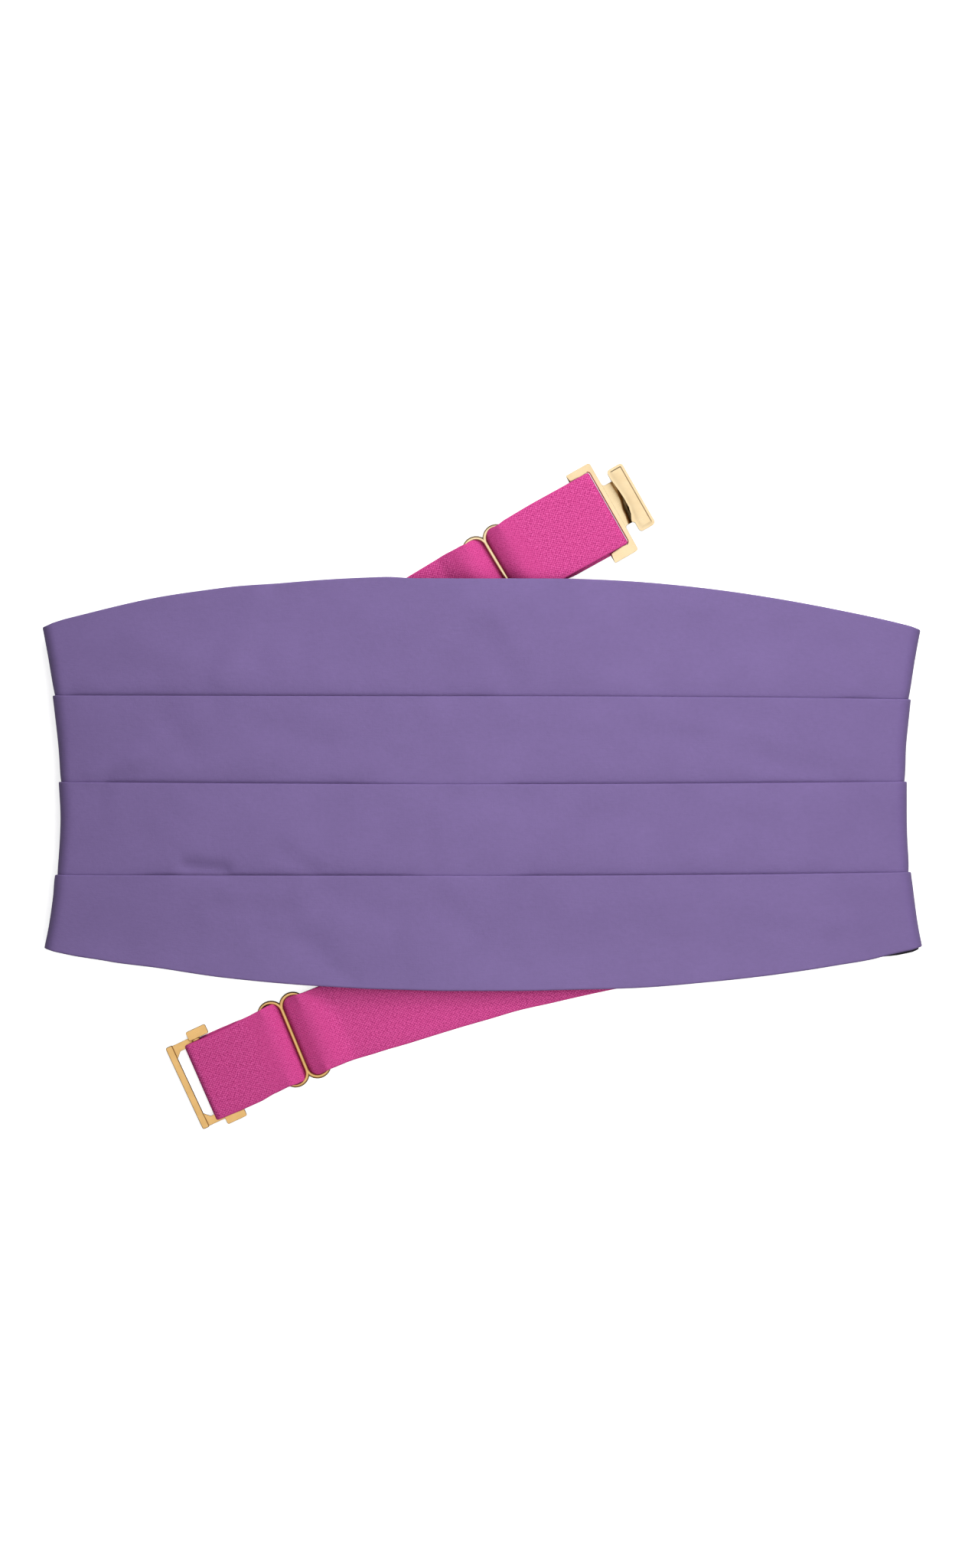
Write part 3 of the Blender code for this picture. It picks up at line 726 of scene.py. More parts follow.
def band_half(route, along, sewn_end):
    """Half the band's width: it fills its slide's loops to their round ends, and rounds off at its fold."""
    half = STRAP_WIDE / 2
    if sewn_end:
        return half - SEWN_END["tuck"] * (1 - smooth((abs(along) - SEWN_END["from"]) / SEWN_END["over"]))
    radius = SLIDE_BAR / 2
    inner = radius - WIRE_RADIUS / 2
    half += LOOP_FILL["by"] * math.exp(-((abs(along) - radius) / LOOP_FILL["over"]) ** 2)
    if abs(along) < radius:
        out = min(abs(abs(along) - radius), inner)
        straight = route["slide_long"] / 2 - WIRE_RADIUS - radius
        return min(half, straight + math.sqrt(inner * inner - out * out))
    past = max(0.0, along - (route["fold"] + RING_TURN + STRAP_THICK / 2 - FOLD_CORNER))
    return half - FOLD_CORNER + math.sqrt(FOLD_CORNER ** 2 - min(past, 0.98 * FOLD_CORNER) ** 2)


def edge_curl(along, sideways):
    """Where the band climbs over a loop's round end, its selvedge lifts onto the wire."""
    near_edge = smooth((abs(sideways) - (STRAP_WIDE / 2 - EDGE_CURL["inset"])) / EDGE_CURL["inset"])
    return EDGE_CURL["up"] * near_edge * math.exp(-((abs(along) - EDGE_CURL["at"]) / EDGE_CURL["wide"]) ** 2)


def strap_band(name, route):
    bends = strap_bends(route)
    mesh = bmesh.new()
    uv = mesh.loops.layers.uv.new("cloth")
    # This attribute holds how tight the elastic is drawn, plus the painted shadow of the middle bar
    taut_and_shadow = mesh.verts.layers.float.new("taut_and_shadow")
    rings, lengths, sides = [], [], []
    run, last = 0.0, None
    for along, height, angle, bend in divided(threaded_path(bends), RING_STEP):
        sewn_end = bend >= len(bends) - 2
        shift = read_table(route["drift"], along)[0] * MM
        if sewn_end or (bend == len(bends) - 3 and math.cos(angle) < 0):
            shift += route["back_drift"] * smooth((route["fold"] - along) / BACK_EASE)
        if sewn_end:
            shift *= smooth((along - SEWN_END["from"]) / SEWN_END["over"])
        heading = heading_at(route, along)
        middle = plan_point(route, along)
        ahead = Vector((math.cos(heading), math.sin(heading)))
        across = Vector((-math.sin(heading), math.cos(heading)))
        if last is not None:
            run += math.hypot(along - last[0], height - last[1])
        last = (along, height)
        drawn = 1 - smooth((abs(along) - DRAWN["from"]) / DRAWN["over"])
        # Painted shadow: how near the middle bar the elastic is painted dark, as if shaded by the bar
        bar_shadow = 1 - smooth((abs(along) - PAINTED_BAR_SHADOW["to"]) / PAINTED_BAR_SHADOW["over"])
        profile = band_profile(band_half(route, along, sewn_end))
        ring = []
        for sideways, up in profile:
            curl = 0.0 if sewn_end else edge_curl(along, sideways)
            spot = middle - ahead * math.sin(angle) * up + across * (sideways + shift)
            ring.append(mesh.verts.new((spot.x, spot.y, height + math.cos(angle) * up + curl)))
            ring[-1][taut_and_shadow] = 0.0 if sewn_end else drawn + bar_shadow
        rings.append(ring)
        lengths.append(run)
        sides.append([sideways for sideways, up in profile])
    count = len(rings[0])
    for r in range(len(rings) - 1):
        for i in range(count):
            j = (i + 1) % count
            face = mesh.faces.new((rings[r][i], rings[r][j], rings[r + 1][j], rings[r + 1][i]))
            face.smooth = True
            for loop, (row, place) in zip(face.loops, ((r, i), (r, j), (r + 1, j), (r + 1, i))):
                loop[uv].uv = (lengths[row], sides[row][place])
    for ring in (rings[0], rings[-1]):
        mesh.faces.new(ring)
    bmesh.ops.recalc_face_normals(mesh, faces=mesh.faces)
    return placed(name, mesh)


def vectors(tree, operation, values):
    return new_node(tree, "ShaderNodeVectorMath", values, operation=operation).outputs[0]


def elastic_material():
    """Knitted elastic: rows of small pits between its loops, ribs where it is drawn through the slide, and a
    painted dark red shadow beside the middle bar.
    """
    material, tree, shader = new_material("pink_elastic")
    uv = new_node(tree, "ShaderNodeUVMap", uv_map="cloth")
    wander = noise_at(tree, uv.outputs[0], 520.0, 2.0)[1]
    shifted = vectors(tree, "SUBTRACT", {0: wander, 1: (0.5, 0.5, 0.5)})
    shifted = vectors(tree, "SCALE", {0: shifted, "Scale": 0.0009})
    knit_at = vectors(tree, "ADD", {0: uv.outputs[0], 1: shifted})
    along, across = new_node(tree, "ShaderNodeSeparateXYZ", {0: knit_at}).outputs[:2]
    turn = 2 * math.pi
    pitch_along, pitch_across = 0.98 * MM, 0.86 * MM
    dashes = maths(tree, "SINE", maths(tree, "MULTIPLY", along, turn / pitch_along))
    columns = maths(tree, "SINE", maths(tree, "MULTIPLY", across, turn / pitch_across))
    knit = maths(tree, "MULTIPLY", dashes, columns)
    uneven = maths(tree, "SUBTRACT", noise_at(tree, uv.outputs[0], 1500.0, 2.0)[0], 0.5)
    knit = maths(tree, "ADD", knit, maths(tree, "MULTIPLY", uneven, 3.2))
    ribs = maths(tree, "COSINE", maths(tree, "MULTIPLY", across, 2 * turn / pitch_across))
    taut_and_shadow = new_node(tree, "ShaderNodeAttribute", attribute_name="taut_and_shadow").outputs["Fac"]
    lean = maths(tree, "MULTIPLY", maths(tree, "MINIMUM", taut_and_shadow, 1.0), 0.5)
    bar_shadow = maths(tree, "MULTIPLY", maths(tree, "MAXIMUM", maths(tree, "SUBTRACT", taut_and_shadow, 1.0), 0.0), 0.8)
    loose = maths(tree, "SUBTRACT", 1.0, lean)
    knit = weighed(tree, (knit, loose), (maths(tree, "MULTIPLY", ribs, -0.9), lean))
    selvedge = ranged(tree, maths(tree, "ABSOLUTE", across), 0.0122, 0.0125)
    middle = maths(tree, "SUBTRACT", 1.0, selvedge)
    knit = weighed(tree, (knit, middle), (maths(tree, "MULTIPLY", dashes, 0.25), selvedge))
    pits = ranged(tree, knit, 0.05, 1.1, ease="SMOOTHSTEP")
    loops = ranged(tree, knit, -0.1, -1.1, ease="SMOOTHSTEP")
    colour = mixed(tree, loops, (0.620, 0.056, 0.262, 1.0), (0.780, 0.118, 0.400, 1.0))
    colour = mixed(tree, pits, colour, (0.380, 0.014, 0.145, 1.0))
    # Painted shadow: the elastic beside the middle bar is mixed to dark red
    colour = mixed(tree, bar_shadow, colour, (0.270, 0.006, 0.055, 1.0))
    raised = maths(tree, "MULTIPLY", knit, -1.0)
    bump = new_node(tree, "ShaderNodeBump", {"Strength": 0.3, "Distance": 0.00010, "Height": raised})
    tree.links.new(colour, shader.inputs["Base Color"])
    tree.links.new(bump.outputs[0], shader.inputs["Normal"])
    shader.inputs["Roughness"].default_value = 0.75
    shader.inputs["Specular IOR Level"].default_value = 0.2
    return material


elastic = elastic_material()
for end, route in ROUTES.items():
    band = strap_band("strap_to_" + end, route)
    band.data.materials.append(elastic)
    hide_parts("strap_" + end)
    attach(band, "root")


# ============================================================ slides
# Each slide is bent from gilt wire: two long loops side by side that share the bare middle bar, over
# which the strap doesn't pass. Its ends meet behind the middle bar.
WIRE_SIDES, WIRE_STEPS = 16, 20
# The far loop starts this far round its end, beside the middle bar that the near loop carries
FAR_START = math.radians(8)
# Between these heights the metal is painted darker towards the bottom: painted shade in its low parts and
# hollows
SHADE_FROM, SHADE_TO = 2.52 * MM, 1.6 * MM


def apply_place():
    bpy.ops.object.transform_apply(location=True, rotation=True, scale=True)


def sized(name, scale=(1.0, 1.0, 1.0)):
    """Names and scales the primitive that was just added, and applies its place."""
    piece = bpy.context.object
    piece.name = name
    piece.scale = scale
    apply_place()
    return piece


def joined(parts):
    only(parts[0])
    for part in parts[1:]:
        part.select_set(True)
    bpy.ops.object.join()
    return parts[0]


def stand_on(obj, route, along, turned=0.0):
    """Puts a piece modelled along +X on the strap's middle line, and applies its place."""
    spot = plan_point(route, along)
    only(obj)
    obj.rotation_euler = (0.0, 0.0, heading_at(route, along) + turned)
    obj.location = (spot.x, spot.y, obj.location.z)
    apply_place()


def slid_across(obj, shift):
    """Moves a piece across its strap in its mesh."""
    for vert in obj.data.vertices:
        vert.co.y += shift


def wire_loop(name, length, start_turn, centre_x, way):
    """Half of a slide: wire drawn round both ends of one long loop."""
    radius = SLIDE_BAR / 2
    straight = length / 2 - WIRE_RADIUS - radius
    round_end = {"steps": WIRE_STEPS, "angle": way * (math.pi - start_turn), "axis": (0.0, 0.0, 1.0)}
    start_x = centre_x - way * radius * math.cos(start_turn)
    start_y = straight + radius * math.sin(start_turn)
    bpy.ops.object.select_all(action="DESELECT")
    bpy.ops.mesh.primitive_circle_add(
        vertices=WIRE_SIDES, radius=WIRE_RADIUS, location=(start_x, start_y, 0.0),
        rotation=(math.pi / 2, 0.0, -way * start_turn),
    )
    wire = sized(name)
    bpy.ops.object.mode_set(mode="EDIT")
    bpy.ops.mesh.select_all(action="SELECT")
    bpy.ops.mesh.spin(center=(centre_x, straight, 0.0), **round_end)
    bpy.ops.mesh.extrude_region_move(TRANSFORM_OT_translate={"value": (0.0, -2 * straight, 0.0)})
    bpy.ops.mesh.spin(center=(centre_x, -straight, 0.0), **round_end)
    if start_turn == 0.0:
        bpy.ops.mesh.extrude_region_move(TRANSFORM_OT_translate={"value": (0.0, 2 * straight, 0.0)})
    bpy.ops.mesh.select_all(action="SELECT")
    bpy.ops.mesh.remove_doubles(threshold=0.00001)
    bpy.ops.mesh.fill_holes(sides=0)
    bpy.ops.mesh.normals_make_consistent(inside=False)
    bpy.ops.object.mode_set(mode="OBJECT")
    return wire


def metal_marks_and_shade_group():
    """Handling marks and fine lines, and a painted dark brown: painted reflection on the flanks that face
    sideways, painted shade in the low hollows.
    """
    group, entry, leave = new_group("metal_marks_and_shade", ("Place", "Facing"), ("Marks", "Height", "Painted Shade"))
    marks = noise_at(group, entry[0], 260.0, 4.0)[0]
    turned = {"Vector": entry[0], "Rotation": (0.2, 0.3, 0.5), "Scale": (220, 5200, 900)}
    lines = noise_at(group, new_node(group, "ShaderNodeMapping", turned).outputs[0], 1.0, 2.0)[0]
    swell = noise_at(group, entry[0], 130.0, 1.0)[0]
    height = maths(group, "ADD", weighed(group, (lines, 0.35), (swell, 9.0)), marks)
    upward = new_node(group, "ShaderNodeSeparateXYZ", {0: entry[1]}).outputs[2]
    # Painted reflection: faces turned sideways are darkened by their facing
    flank = ranged(group, upward, 0.90, 0.60, ease="SMOOTHSTEP")
    depth = new_node(group, "ShaderNodeSeparateXYZ", {0: entry[0]}).outputs[2]
    # Painted shade: low parts are darkened by their height
    painted_shade = maths(group, "MAXIMUM", flank, ranged(group, depth, SHADE_FROM, SHADE_TO, 0.0, 0.85))
    for number, value in enumerate((marks, height, painted_shade)):
        group.links.new(value, leave[number])
    return group


def metal_material(name, colour, worn, shade_colour, smoothest, dullest):
    material, tree, shader = new_material(name)
    place = new_node(tree, "ShaderNodeTexCoord")
    marks_and_shade = new_node(tree, "ShaderNodeGroup", node_tree=metal_group)
    tree.links.new(place.outputs["Object"], marks_and_shade.inputs[0])
    tree.links.new(place.outputs["Normal"], marks_and_shade.inputs[1])
    marks, height, painted_shade = marks_and_shade.outputs
    tone = mixed(tree, ranged(tree, marks, 0.35, 0.7, 0.0, 0.55), (*colour, 1.0), (*worn, 1.0))
    # Painted shade and reflection: flanks and low hollows are mixed to the shade colour
    tone = mixed(tree, painted_shade, tone, (*shade_colour, 1.0))
    rough = ranged(tree, marks, 0.3, 0.7, smoothest, dullest)
    bump = new_node(tree, "ShaderNodeBump", {"Strength": 0.35, "Distance": 0.00003, "Height": height})
    tree.links.new(tone, shader.inputs["Base Color"])
    tree.links.new(rough, shader.inputs["Roughness"])
    tree.links.new(bump.outputs[0], shader.inputs["Normal"])
    shader.inputs["Metallic"].default_value = 1.0
    return material


metal_group = metal_marks_and_shade_group()
# Each gilt's shade colour is painted shade and painted reflection, for its flanks and hollows
gilt = {
    "hook": metal_material(
        "pale_gilt", colour=(0.92, 0.73, 0.45), worn=(0.88, 0.66, 0.37), shade_colour=(0.38, 0.24, 0.09),
        smoothest=0.24, dullest=0.34,
    ),
    "eye": metal_material(
        "deep_gilt", colour=(0.74, 0.46, 0.18), worn=(0.66, 0.40, 0.14), shade_colour=(0.36, 0.19, 0.05),
        smoothest=0.26, dullest=0.38,
    ),
}
for end in ("hook", "eye"):
    length = ROUTES[end]["slide_long"]
    near = wire_loop(end + "_slide", length, 0.0, SLIDE_BAR / 2, 1)
    whole = joined([near, wire_loop(end + "_slide_far", length, FAR_START, -SLIDE_BAR / 2, -1)])
    slid_across(whole, ROUTES[end]["slide_shift"])
    whole.location.z = BAR_Z
    stand_on(whole, ROUTES[end], 0.0)
    bpy.ops.object.shade_smooth_by_angle(angle=math.radians(40))
    whole.data.materials.append(gilt[end])
    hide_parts("slide_" + end)
    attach(whole, "root")


# ============================================================ hook
# Cast and plated in pale gold: a base with a crossbar for the strap, a short neck with a hollow, and a T
# bar with a sunk face, which goes through the eye and turns to lie flat behind it.
HOOK_SHIFT = -0.5 * MM
HOOK_BASE = {"left": -3.5 * MM, "right": 5.1 * MM, "half_long": 15.95 * MM}
HOOK_INNER = (-12.5 * MM, 13.55 * MM)
HOOK_BAR = {"left": -0.25 * MM, "right": 1.7 * MM, "plate_left": 3.5 * MM}
# The base's rounded corners: x, y, then the radius
HOOK_CORNERS = (
    (HOOK_BASE["right"], HOOK_BASE["half_long"], 0.9 * MM),
    (HOOK_BASE["left"], HOOK_BASE["half_long"], 0.35 * MM),
    (HOOK_BAR["plate_left"], -HOOK_INNER[0], 1.1 * MM),
    (HOOK_BAR["plate_left"], HOOK_INNER[1], 0.8 * MM),
)
SLOT_CHAMFER, SLOT_REACH, ARM_CHAMFER = 0.3 * MM, 1.15 * MM, 0.45 * MM
HOOK_SOFT, NECK_SOFT, T_SOFT = 0.16 * MM, 0.15 * MM, 0.12 * MM
# Places closer than this count as one, and edges sharper than this are rounded
HAIR, SHARP = 0.01 * MM, math.radians(35)
T_BAR = {
    "left": 8.35 * MM, "right": 14.0 * MM, "half_long": 11.1 * MM, "low": 1.2 * MM, "high": 3.2 * MM,
    "corner": 1.1 * MM, "rim": 0.8 * MM, "sunk": 0.32 * MM, "near_wall": 0.5 * MM, "far_wall": 0.26 * MM,
    "bow_reach": 1.3 * MM, "shift": -0.2 * MM,
}
# How far the T bar's near side bows in along its length: the place, then the bow, in mm (below 0 goes out)
T_BOW = (
    (-8.1, 0.0), (-7.4, -0.75), (-6.7, -0.55), (-5.2, 0.2), (-3.0, 0.7), (0.3, 0.75), (3.2, 0.55),
    (6.0, 0.25), (7.5, 0.0),
)
NECK = {
    "left": 4.4 * MM, "right": 9.2 * MM, "half_wide": 7.25 * MM, "thick": 1.2 * MM, "dip": 0.7 * MM,
    "fillet": 0.9 * MM, "top": PLATE_HIGH - 0.05 * MM, "lowest": 0.1 * MM, "cuts": (30, 40),
}
# The hollow beside the T bar, dark with the metal's painted shade: the place across in mm, then where it
# starts in mm along the neck
HOLLOW = ((-9.0, 5.9), (-3.0, 6.7), (1.5, 7.9), (5.0, 8.5), (9.0, 10.0))
HOLLOW_DEEP, HOLLOW_OVER = 1.5 * MM, 2.4 * MM


def cut_through(spot, normal):
    """Cuts the whole mesh along a plane, in edit mode."""
    bpy.ops.mesh.select_all(action="SELECT")
    bpy.ops.mesh.bisect(plane_co=spot, plane_no=normal)


def cut_plate(name, corners, cuts, keeps, low, high):
    """A plate: a plane cut along straight lines, its openings dropped, then drawn up to its thickness."""
    (left, bottom), (right, top) = corners
    bpy.ops.object.select_all(action="DESELECT")
    bpy.ops.mesh.primitive_plane_add(size=1.0, location=((left + right) / 2, (bottom + top) / 2, low))
    plate = sized(name, (right - left, top - bottom, 1.0))
    bpy.ops.object.mode_set(mode="EDIT")
    for spot, normal in cuts:
        cut_through((*spot, low), (*normal, 0.0))
    mesh = bmesh.from_edit_mesh(plate.data)
    for face in mesh.faces:
        centre = face.calc_center_median()
        face.select = not keeps(centre.x, centre.y)
    bmesh.update_edit_mesh(plate.data)
    bpy.ops.mesh.delete(type="FACE")
    bpy.ops.mesh.select_all(action="SELECT")
    bpy.ops.mesh.dissolve_limited(angle_limit=math.radians(2))
    bpy.ops.mesh.select_all(action="SELECT")
    bpy.ops.mesh.extrude_region_move(TRANSFORM_OT_translate={"value": (0.0, 0.0, high - low)})
    bpy.ops.mesh.select_all(action="SELECT")
    bpy.ops.mesh.normals_make_consistent(inside=False)
    bpy.ops.object.mode_set(mode="OBJECT")
    return plate


def cast_block(name, left, right, half_long, low, high):
    """A squared block, ready for its face to be worked."""
    bpy.ops.object.select_all(action="DESELECT")
    bpy.ops.mesh.primitive_cube_add(size=1.0, location=((left + right) / 2, 0.0, (low + high) / 2))
    return sized(name, (right - left, 2 * half_long, high - low))


def soften(obj, width, segments):
    only(obj)
    edges = obj.modifiers.new("soft edges", "BEVEL")
    edges.width, edges.segments, edges.limit_method = width, segments, "ANGLE"
    edges.angle_limit = SHARP
    bpy.ops.object.modifier_apply(modifier=edges.name)


def bevel_where(obj, chosen, width, segments):
    """Bevels the edges whose two ends pass a test on their places."""
    only(obj)
    bpy.ops.object.mode_set(mode="EDIT")
    bpy.ops.mesh.select_all(action="DESELECT")
    bpy.ops.mesh.select_mode(type="EDGE")
    mesh = bmesh.from_edit_mesh(obj.data)
    for edge in mesh.edges:
        edge.select = chosen(*(vert.co for vert in edge.verts))
    mesh.select_flush_mode()
    bmesh.update_edit_mesh(obj.data)
    bpy.ops.mesh.bevel(offset=width, segments=segments, affect="EDGES")
    bpy.ops.mesh.select_mode(type="VERT")
    bpy.ops.object.mode_set(mode="OBJECT")


def upright_at(x, y):
    """A test for the upright edges at x and at y or -y."""
    def chosen(a, b):
        gaps = (a.x - b.x, a.y - b.y, a.x - x, abs(a.y) - y)
        return all(abs(gap) < 2 * HAIR for gap in gaps)
    return chosen


def top_edge_within(left, right, low=-math.inf, high=math.inf):
    """A test for the edges of the plate's top face inside these limits."""
    def chosen(a, b):
        return (min(a.z, b.z) > PLATE_HIGH - HAIR and left < min(a.x, b.x) and max(a.x, b.x) < right + HAIR
                and low - HAIR < min(a.y, b.y) and max(a.y, b.y) < high + HAIR)
    return chosen


def keeps_hook(x, y):
    if not HOOK_INNER[0] < y < HOOK_INNER[1]:
        return True
    return HOOK_BAR["left"] < x < HOOK_BAR["right"] or x > HOOK_BAR["plate_left"]


hook_cuts = [((x, 0.0), (1.0, 0.0)) for x in (HOOK_BAR["left"], HOOK_BAR["right"], HOOK_BAR["plate_left"])]
hook_cuts += [((0.0, y), (0.0, 1.0)) for y in HOOK_INNER]
hook_metal = cut_plate(
    "hook_metal",
    ((HOOK_BASE["left"], -HOOK_BASE["half_long"]), (HOOK_BASE["right"], HOOK_BASE["half_long"])),
    hook_cuts, keeps_hook, PLATE_LOW, PLATE_HIGH,
)
for x, y, radius in HOOK_CORNERS:
    bevel_where(hook_metal, upright_at(x, y), radius, segments=5)
slot_edges = top_edge_within(HOOK_BAR["plate_left"] - SLOT_REACH, HOOK_BAR["plate_left"], *HOOK_INNER)
bevel_where(hook_metal, slot_edges, SLOT_CHAMFER, segments=1)
bevel_where(hook_metal, top_edge_within(-math.inf, HOOK_BASE["left"]), ARM_CHAMFER, segments=1)
soften(hook_metal, HOOK_SOFT, segments=3)

neck = cast_block("hook_neck", NECK["left"], NECK["right"], NECK["half_wide"],
                  NECK["top"] - NECK["thick"], NECK["top"])
bpy.ops.object.mode_set(mode="EDIT")
cuts_along, cuts_across = NECK["cuts"]
for step in range(1, cuts_along):
    cut_through((between(NECK["left"], NECK["right"], step / cuts_along), 0.0, 0.0), (1.0, 0.0, 0.0))
for step in range(1, cuts_across):
    spot = between(-NECK["half_wide"], NECK["half_wide"], step / cuts_across)
    cut_through((0.0, spot, 0.0), (0.0, 1.0, 0.0))
mesh = bmesh.from_edit_mesh(neck.data)
plate_edge = HOOK_BASE["right"]
for vert in mesh.verts:
    past = (vert.co.x - plate_edge) / (T_BAR["left"] - plate_edge)
    away = min(max((plate_edge + NECK["fillet"] - vert.co.x) / NECK["fillet"], 0.0), 1.0)
    flare = NECK["fillet"] * (1 - math.sqrt(1 - away * away))
    start = read_table(HOLLOW, vert.co.y)[0] * MM
    fall = NECK["dip"] * min(max(past, 0.0), 1.0) ** 2
    fall += HOLLOW_DEEP * smooth((vert.co.x - start) / HOLLOW_OVER)
    vert.co.z = max(vert.co.z - fall, NECK["lowest"])
    vert.co.y += flare * vert.co.y / NECK["half_wide"]
bmesh.update_edit_mesh(neck.data)
bpy.ops.object.mode_set(mode="OBJECT")
soften(neck, NECK_SOFT, segments=3)

t_bar = cast_block(
    "hook_t_bar", T_BAR["left"], T_BAR["right"], T_BAR["half_long"], T_BAR["low"], T_BAR["high"]
)
for side in ("left", "right"):
    bevel_where(t_bar, upright_at(T_BAR[side], T_BAR["half_long"]), T_BAR["corner"], segments=6)
bpy.ops.object.mode_set(mode="EDIT")
bpy.ops.mesh.select_mode(type="FACE")
mesh = bmesh.from_edit_mesh(t_bar.data)
for face in mesh.faces:
    face.select = face.normal.z > 0.9
bmesh.update_edit_mesh(t_bar.data)
bpy.ops.mesh.inset(thickness=T_BAR["rim"])
bpy.ops.mesh.inset(thickness=2 * HAIR)
mesh = bmesh.from_edit_mesh(t_bar.data)
middle_x = (T_BAR["left"] + T_BAR["right"]) / 2
for vert in {vert for face in mesh.faces if face.select for vert in face.verts}:
    vert.co.z -= T_BAR["sunk"]
    vert.co.x += -T_BAR["far_wall"] if vert.co.x > middle_x else T_BAR["near_wall"]
    vert.co.y += -T_BAR["far_wall"] if vert.co.y > 0 else T_BAR["near_wall"]
bmesh.update_edit_mesh(t_bar.data)
for distance, bow in T_BOW:
    cut_through((0.0, distance * MM - HOOK_SHIFT, 0.0), (0.0, 1.0, 0.0))
mesh = bmesh.from_edit_mesh(t_bar.data)
for vert in mesh.verts:
    bow = read_table(T_BOW, vert.co.y + HOOK_SHIFT)[0] * MM
    if vert.co.x < T_BAR["left"] + (HAIR if bow < 0 else T_BAR["rim"] + T_BAR["bow_reach"]):
        vert.co.x += bow
bmesh.update_edit_mesh(t_bar.data)
bpy.ops.mesh.select_mode(type="VERT")
bpy.ops.object.mode_set(mode="OBJECT")
soften(t_bar, T_SOFT, segments=3)
slid_across(t_bar, T_BAR["shift"])

hook_metal = joined([hook_metal, neck, t_bar])
slid_across(hook_metal, HOOK_SHIFT)
stand_on(hook_metal, ROUTES["hook"], ROUTES["hook"]["ring"])
bpy.ops.object.shade_smooth_by_angle(angle=SHARP)
hook_metal.data.materials.append(gilt["hook"])
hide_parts("hook")
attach(hook_metal, "root")


# ============================================================ eye
# Cast and plated in deeper gold: a crossbar between two raised tabs, which the strap goes round, and two
# arms that carry the raised end bar, which the T bar hooks behind.
EYE_SHIFT, EYE_TURN = 0.25 * MM, math.radians(1.4)
EYE_ARM = {"right": 5.75 * MM, "half_long": 14.0 * MM, "inner": 11.35 * MM, "chamfer": 1.85 * MM}
EYE_BAR = {"left": -1.9 * MM, "right": 0.3 * MM}
EYE_END = {
    "left": 5.65 * MM, "right": 7.86 * MM, "half_long": 14.25 * MM,
    "low": PLATE_LOW - 0.35 * MM, "high": PLATE_HIGH + 0.6 * MM, "corner": 0.6 * MM,
}
EYE_TAB = {
    "left": -6.75 * MM, "right": 0.0 * MM, "inner": 12.95 * MM, "outer": 16.1 * MM,
    "low": PLATE_LOW - 0.25 * MM, "high": PLATE_HIGH + 0.45 * MM, "corner": 0.55 * MM,
}
EYE_NOTCH = {"right": 0.75 * MM, "floor": 1.75 * MM}
EYE_SOFT, END_SOFT, EYE_TAB_SOFT = 0.15 * MM, 0.3 * MM, 0.16 * MM
# The small swelling where the crossbar runs into each tab
KNUCKLE = {
    "x": EYE_BAR["left"] / 2 - 1.2 * MM, "y": EYE_TAB["inner"] - 0.35 * MM, "z": PLATE_HIGH - 0.3 * MM,
    "radii": (1.5 * MM, 0.75 * MM, 0.75 * MM),
}


def keeps_eye(x, y):
    y = abs(y)
    if y > EYE_ARM["inner"]:
        return True
    corner = EYE_ARM["right"] + EYE_ARM["inner"] - EYE_ARM["chamfer"]
    return x < EYE_BAR["right"] or x + y > corner


slant, slant_x = math.sqrt(0.5), EYE_ARM["right"] - EYE_ARM["chamfer"]
eye_cuts = [((EYE_BAR["right"], 0.0), (1.0, 0.0))]
for side in (-1, 1):
    eye_cuts.append(((0.0, side * EYE_ARM["inner"]), (0.0, 1.0)))
    eye_cuts.append(((slant_x, side * EYE_ARM["inner"]), (slant, side * slant)))
eye_metal = cut_plate(
    "eye_metal",
    ((EYE_BAR["left"], -EYE_ARM["half_long"]), (EYE_ARM["right"], EYE_ARM["half_long"])),
    eye_cuts, keeps_eye, PLATE_LOW, PLATE_HIGH,
)
bpy.ops.object.mode_set(mode="EDIT")
cut_through((EYE_NOTCH["right"], 0.0, 0.0), (1.0, 0.0, 0.0))
mesh = bmesh.from_edit_mesh(eye_metal.data)
for vert in mesh.verts:
    if vert.co.x < EYE_NOTCH["right"] - HAIR and vert.co.z > PLATE_HIGH - HAIR:
        vert.co.z = EYE_NOTCH["floor"]
bmesh.update_edit_mesh(eye_metal.data)
bpy.ops.object.mode_set(mode="OBJECT")
soften(eye_metal, EYE_SOFT, segments=2)
end_bar = cast_block(
    "eye_end_bar", EYE_END["left"], EYE_END["right"], EYE_END["half_long"], EYE_END["low"], EYE_END["high"]
)
bevel_where(end_bar, upright_at(EYE_END["right"], EYE_END["half_long"]), EYE_END["corner"], segments=4)
soften(end_bar, END_SOFT, segments=4)
eye_parts = [eye_metal, end_bar]
tab_half = (EYE_TAB["outer"] - EYE_TAB["inner"]) / 2
for side in (-1, 1):
    tab_block = cast_block(
        "eye_tab", EYE_TAB["left"], EYE_TAB["right"], tab_half, EYE_TAB["low"], EYE_TAB["high"]
    )
    for x in (EYE_TAB["left"], EYE_TAB["right"]):
        bevel_where(tab_block, upright_at(x, tab_half), EYE_TAB["corner"], segments=5)
    soften(tab_block, EYE_TAB_SOFT, segments=3)
    slid_across(tab_block, side * (EYE_TAB["outer"] + EYE_TAB["inner"]) / 2)
    bpy.ops.object.select_all(action="DESELECT")
    bpy.ops.mesh.primitive_uv_sphere_add(
        segments=24, ring_count=12, radius=1.0, location=(KNUCKLE["x"], side * KNUCKLE["y"], KNUCKLE["z"])
    )
    eye_parts += [tab_block, sized("eye_knuckle", KNUCKLE["radii"])]
eye_metal = joined(eye_parts)
slid_across(eye_metal, EYE_SHIFT)
stand_on(eye_metal, ROUTES["eye"], ROUTES["eye"]["ring"], EYE_TURN)
bpy.ops.object.shade_smooth_by_angle(angle=SHARP)
eye_metal.data.materials.append(gilt["eye"])
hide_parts("eye")
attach(eye_metal, "root")


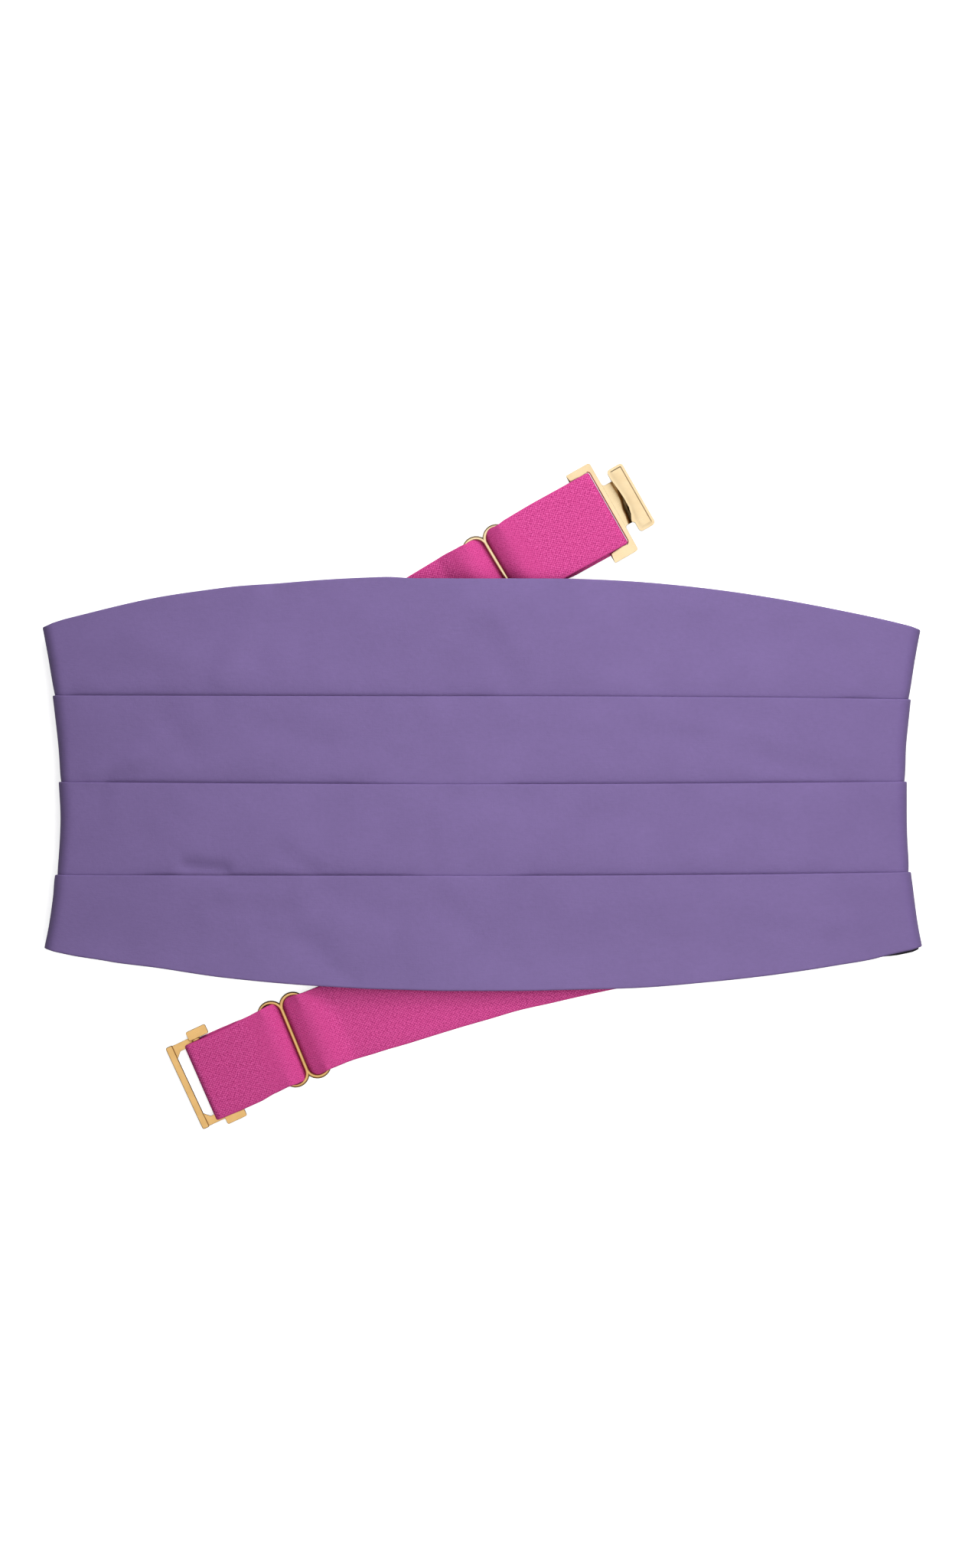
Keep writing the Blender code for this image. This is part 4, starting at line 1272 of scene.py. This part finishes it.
# ============================================================ table and light
# A plain pale table top in an evenly lit room: a softbox beyond the top edge and a strip over the middle.
# A wide one high above and one at each side are there for the metal to mirror.
bpy.ops.object.select_all(action="DESELECT")
bpy.ops.mesh.primitive_plane_add(size=6.0, location=(0.0, 0.0, 0.0))
table_top = bpy.context.object
table_top.name = "table_top"
table_finish, tree, table_shader = new_material("pale_table")
seen = new_node(tree, "ShaderNodeLightPath").outputs["Is Camera Ray"]
pale = mixed(tree, seen, (0.45, 0.45, 0.45, 1.0), (0.95, 0.95, 0.95, 1.0))
tree.links.new(pale, table_shader.inputs["Base Color"])
tree.links.new(maths(tree, "MULTIPLY", seen, 0.72), table_shader.inputs["Emission Strength"])
table_shader.inputs["Emission Color"].default_value = (1.0, 1.0, 1.0, 1.0)
table_shader.inputs["Roughness"].default_value = 0.9
table_shader.inputs["Specular IOR Level"].default_value = 0.1
table_top.data.materials.append(table_finish)

# Each softbox: its name, its place, what it is aimed at, its sides, its watts, and if it is only mirrored
SOFTBOXES = (
    ("back_softbox", (0.35, 0.75, 0.40), (0.0, 0.0, 0.0), (0.9, 0.35), 4.8, False),
    ("strip_softbox", (0.05, 0.12, 0.27), (0.05, 0.12, 0.0), (0.25, 0.9), 1.25, False),
    ("high_softbox", (0.0, 0.0, 1.10), (0.0, 0.0, 0.0), (1.8, 1.8), 9.5, True),
    ("left_softbox", (-1.3, 0.0, 0.55), (0.0, 0.0, 0.0), (1.6, 1.0), 2.5, True),
    ("right_softbox", (1.3, 0.0, 0.55), (0.0, 0.0, 0.0), (1.6, 1.0), 2.5, True),
)
for name, place, aim, sides, watts, mirrored in SOFTBOXES:
    bpy.ops.object.light_add(type="AREA", location=place)
    lamp = bpy.context.object
    lamp.name = name
    lamp.data.shape = "RECTANGLE"
    lamp.data.size, lamp.data.size_y = sides
    lamp.data.energy = watts
    lamp.rotation_euler = (Vector(aim) - Vector(place)).to_track_quat("-Z", "Y").to_euler()
    lamp.visible_camera = False
    lamp.visible_glossy = mirrored
    lamp.visible_diffuse = not mirrored

room = bpy.data.worlds.new("dim room")
room.use_nodes = True
background = room.node_tree.nodes["Background"].inputs
background["Color"].default_value = (1.0, 1.0, 1.0, 1.0)
background["Strength"].default_value = 0.22
bpy.context.scene.world = room
bpy.context.scene.view_settings.view_transform = "Standard"
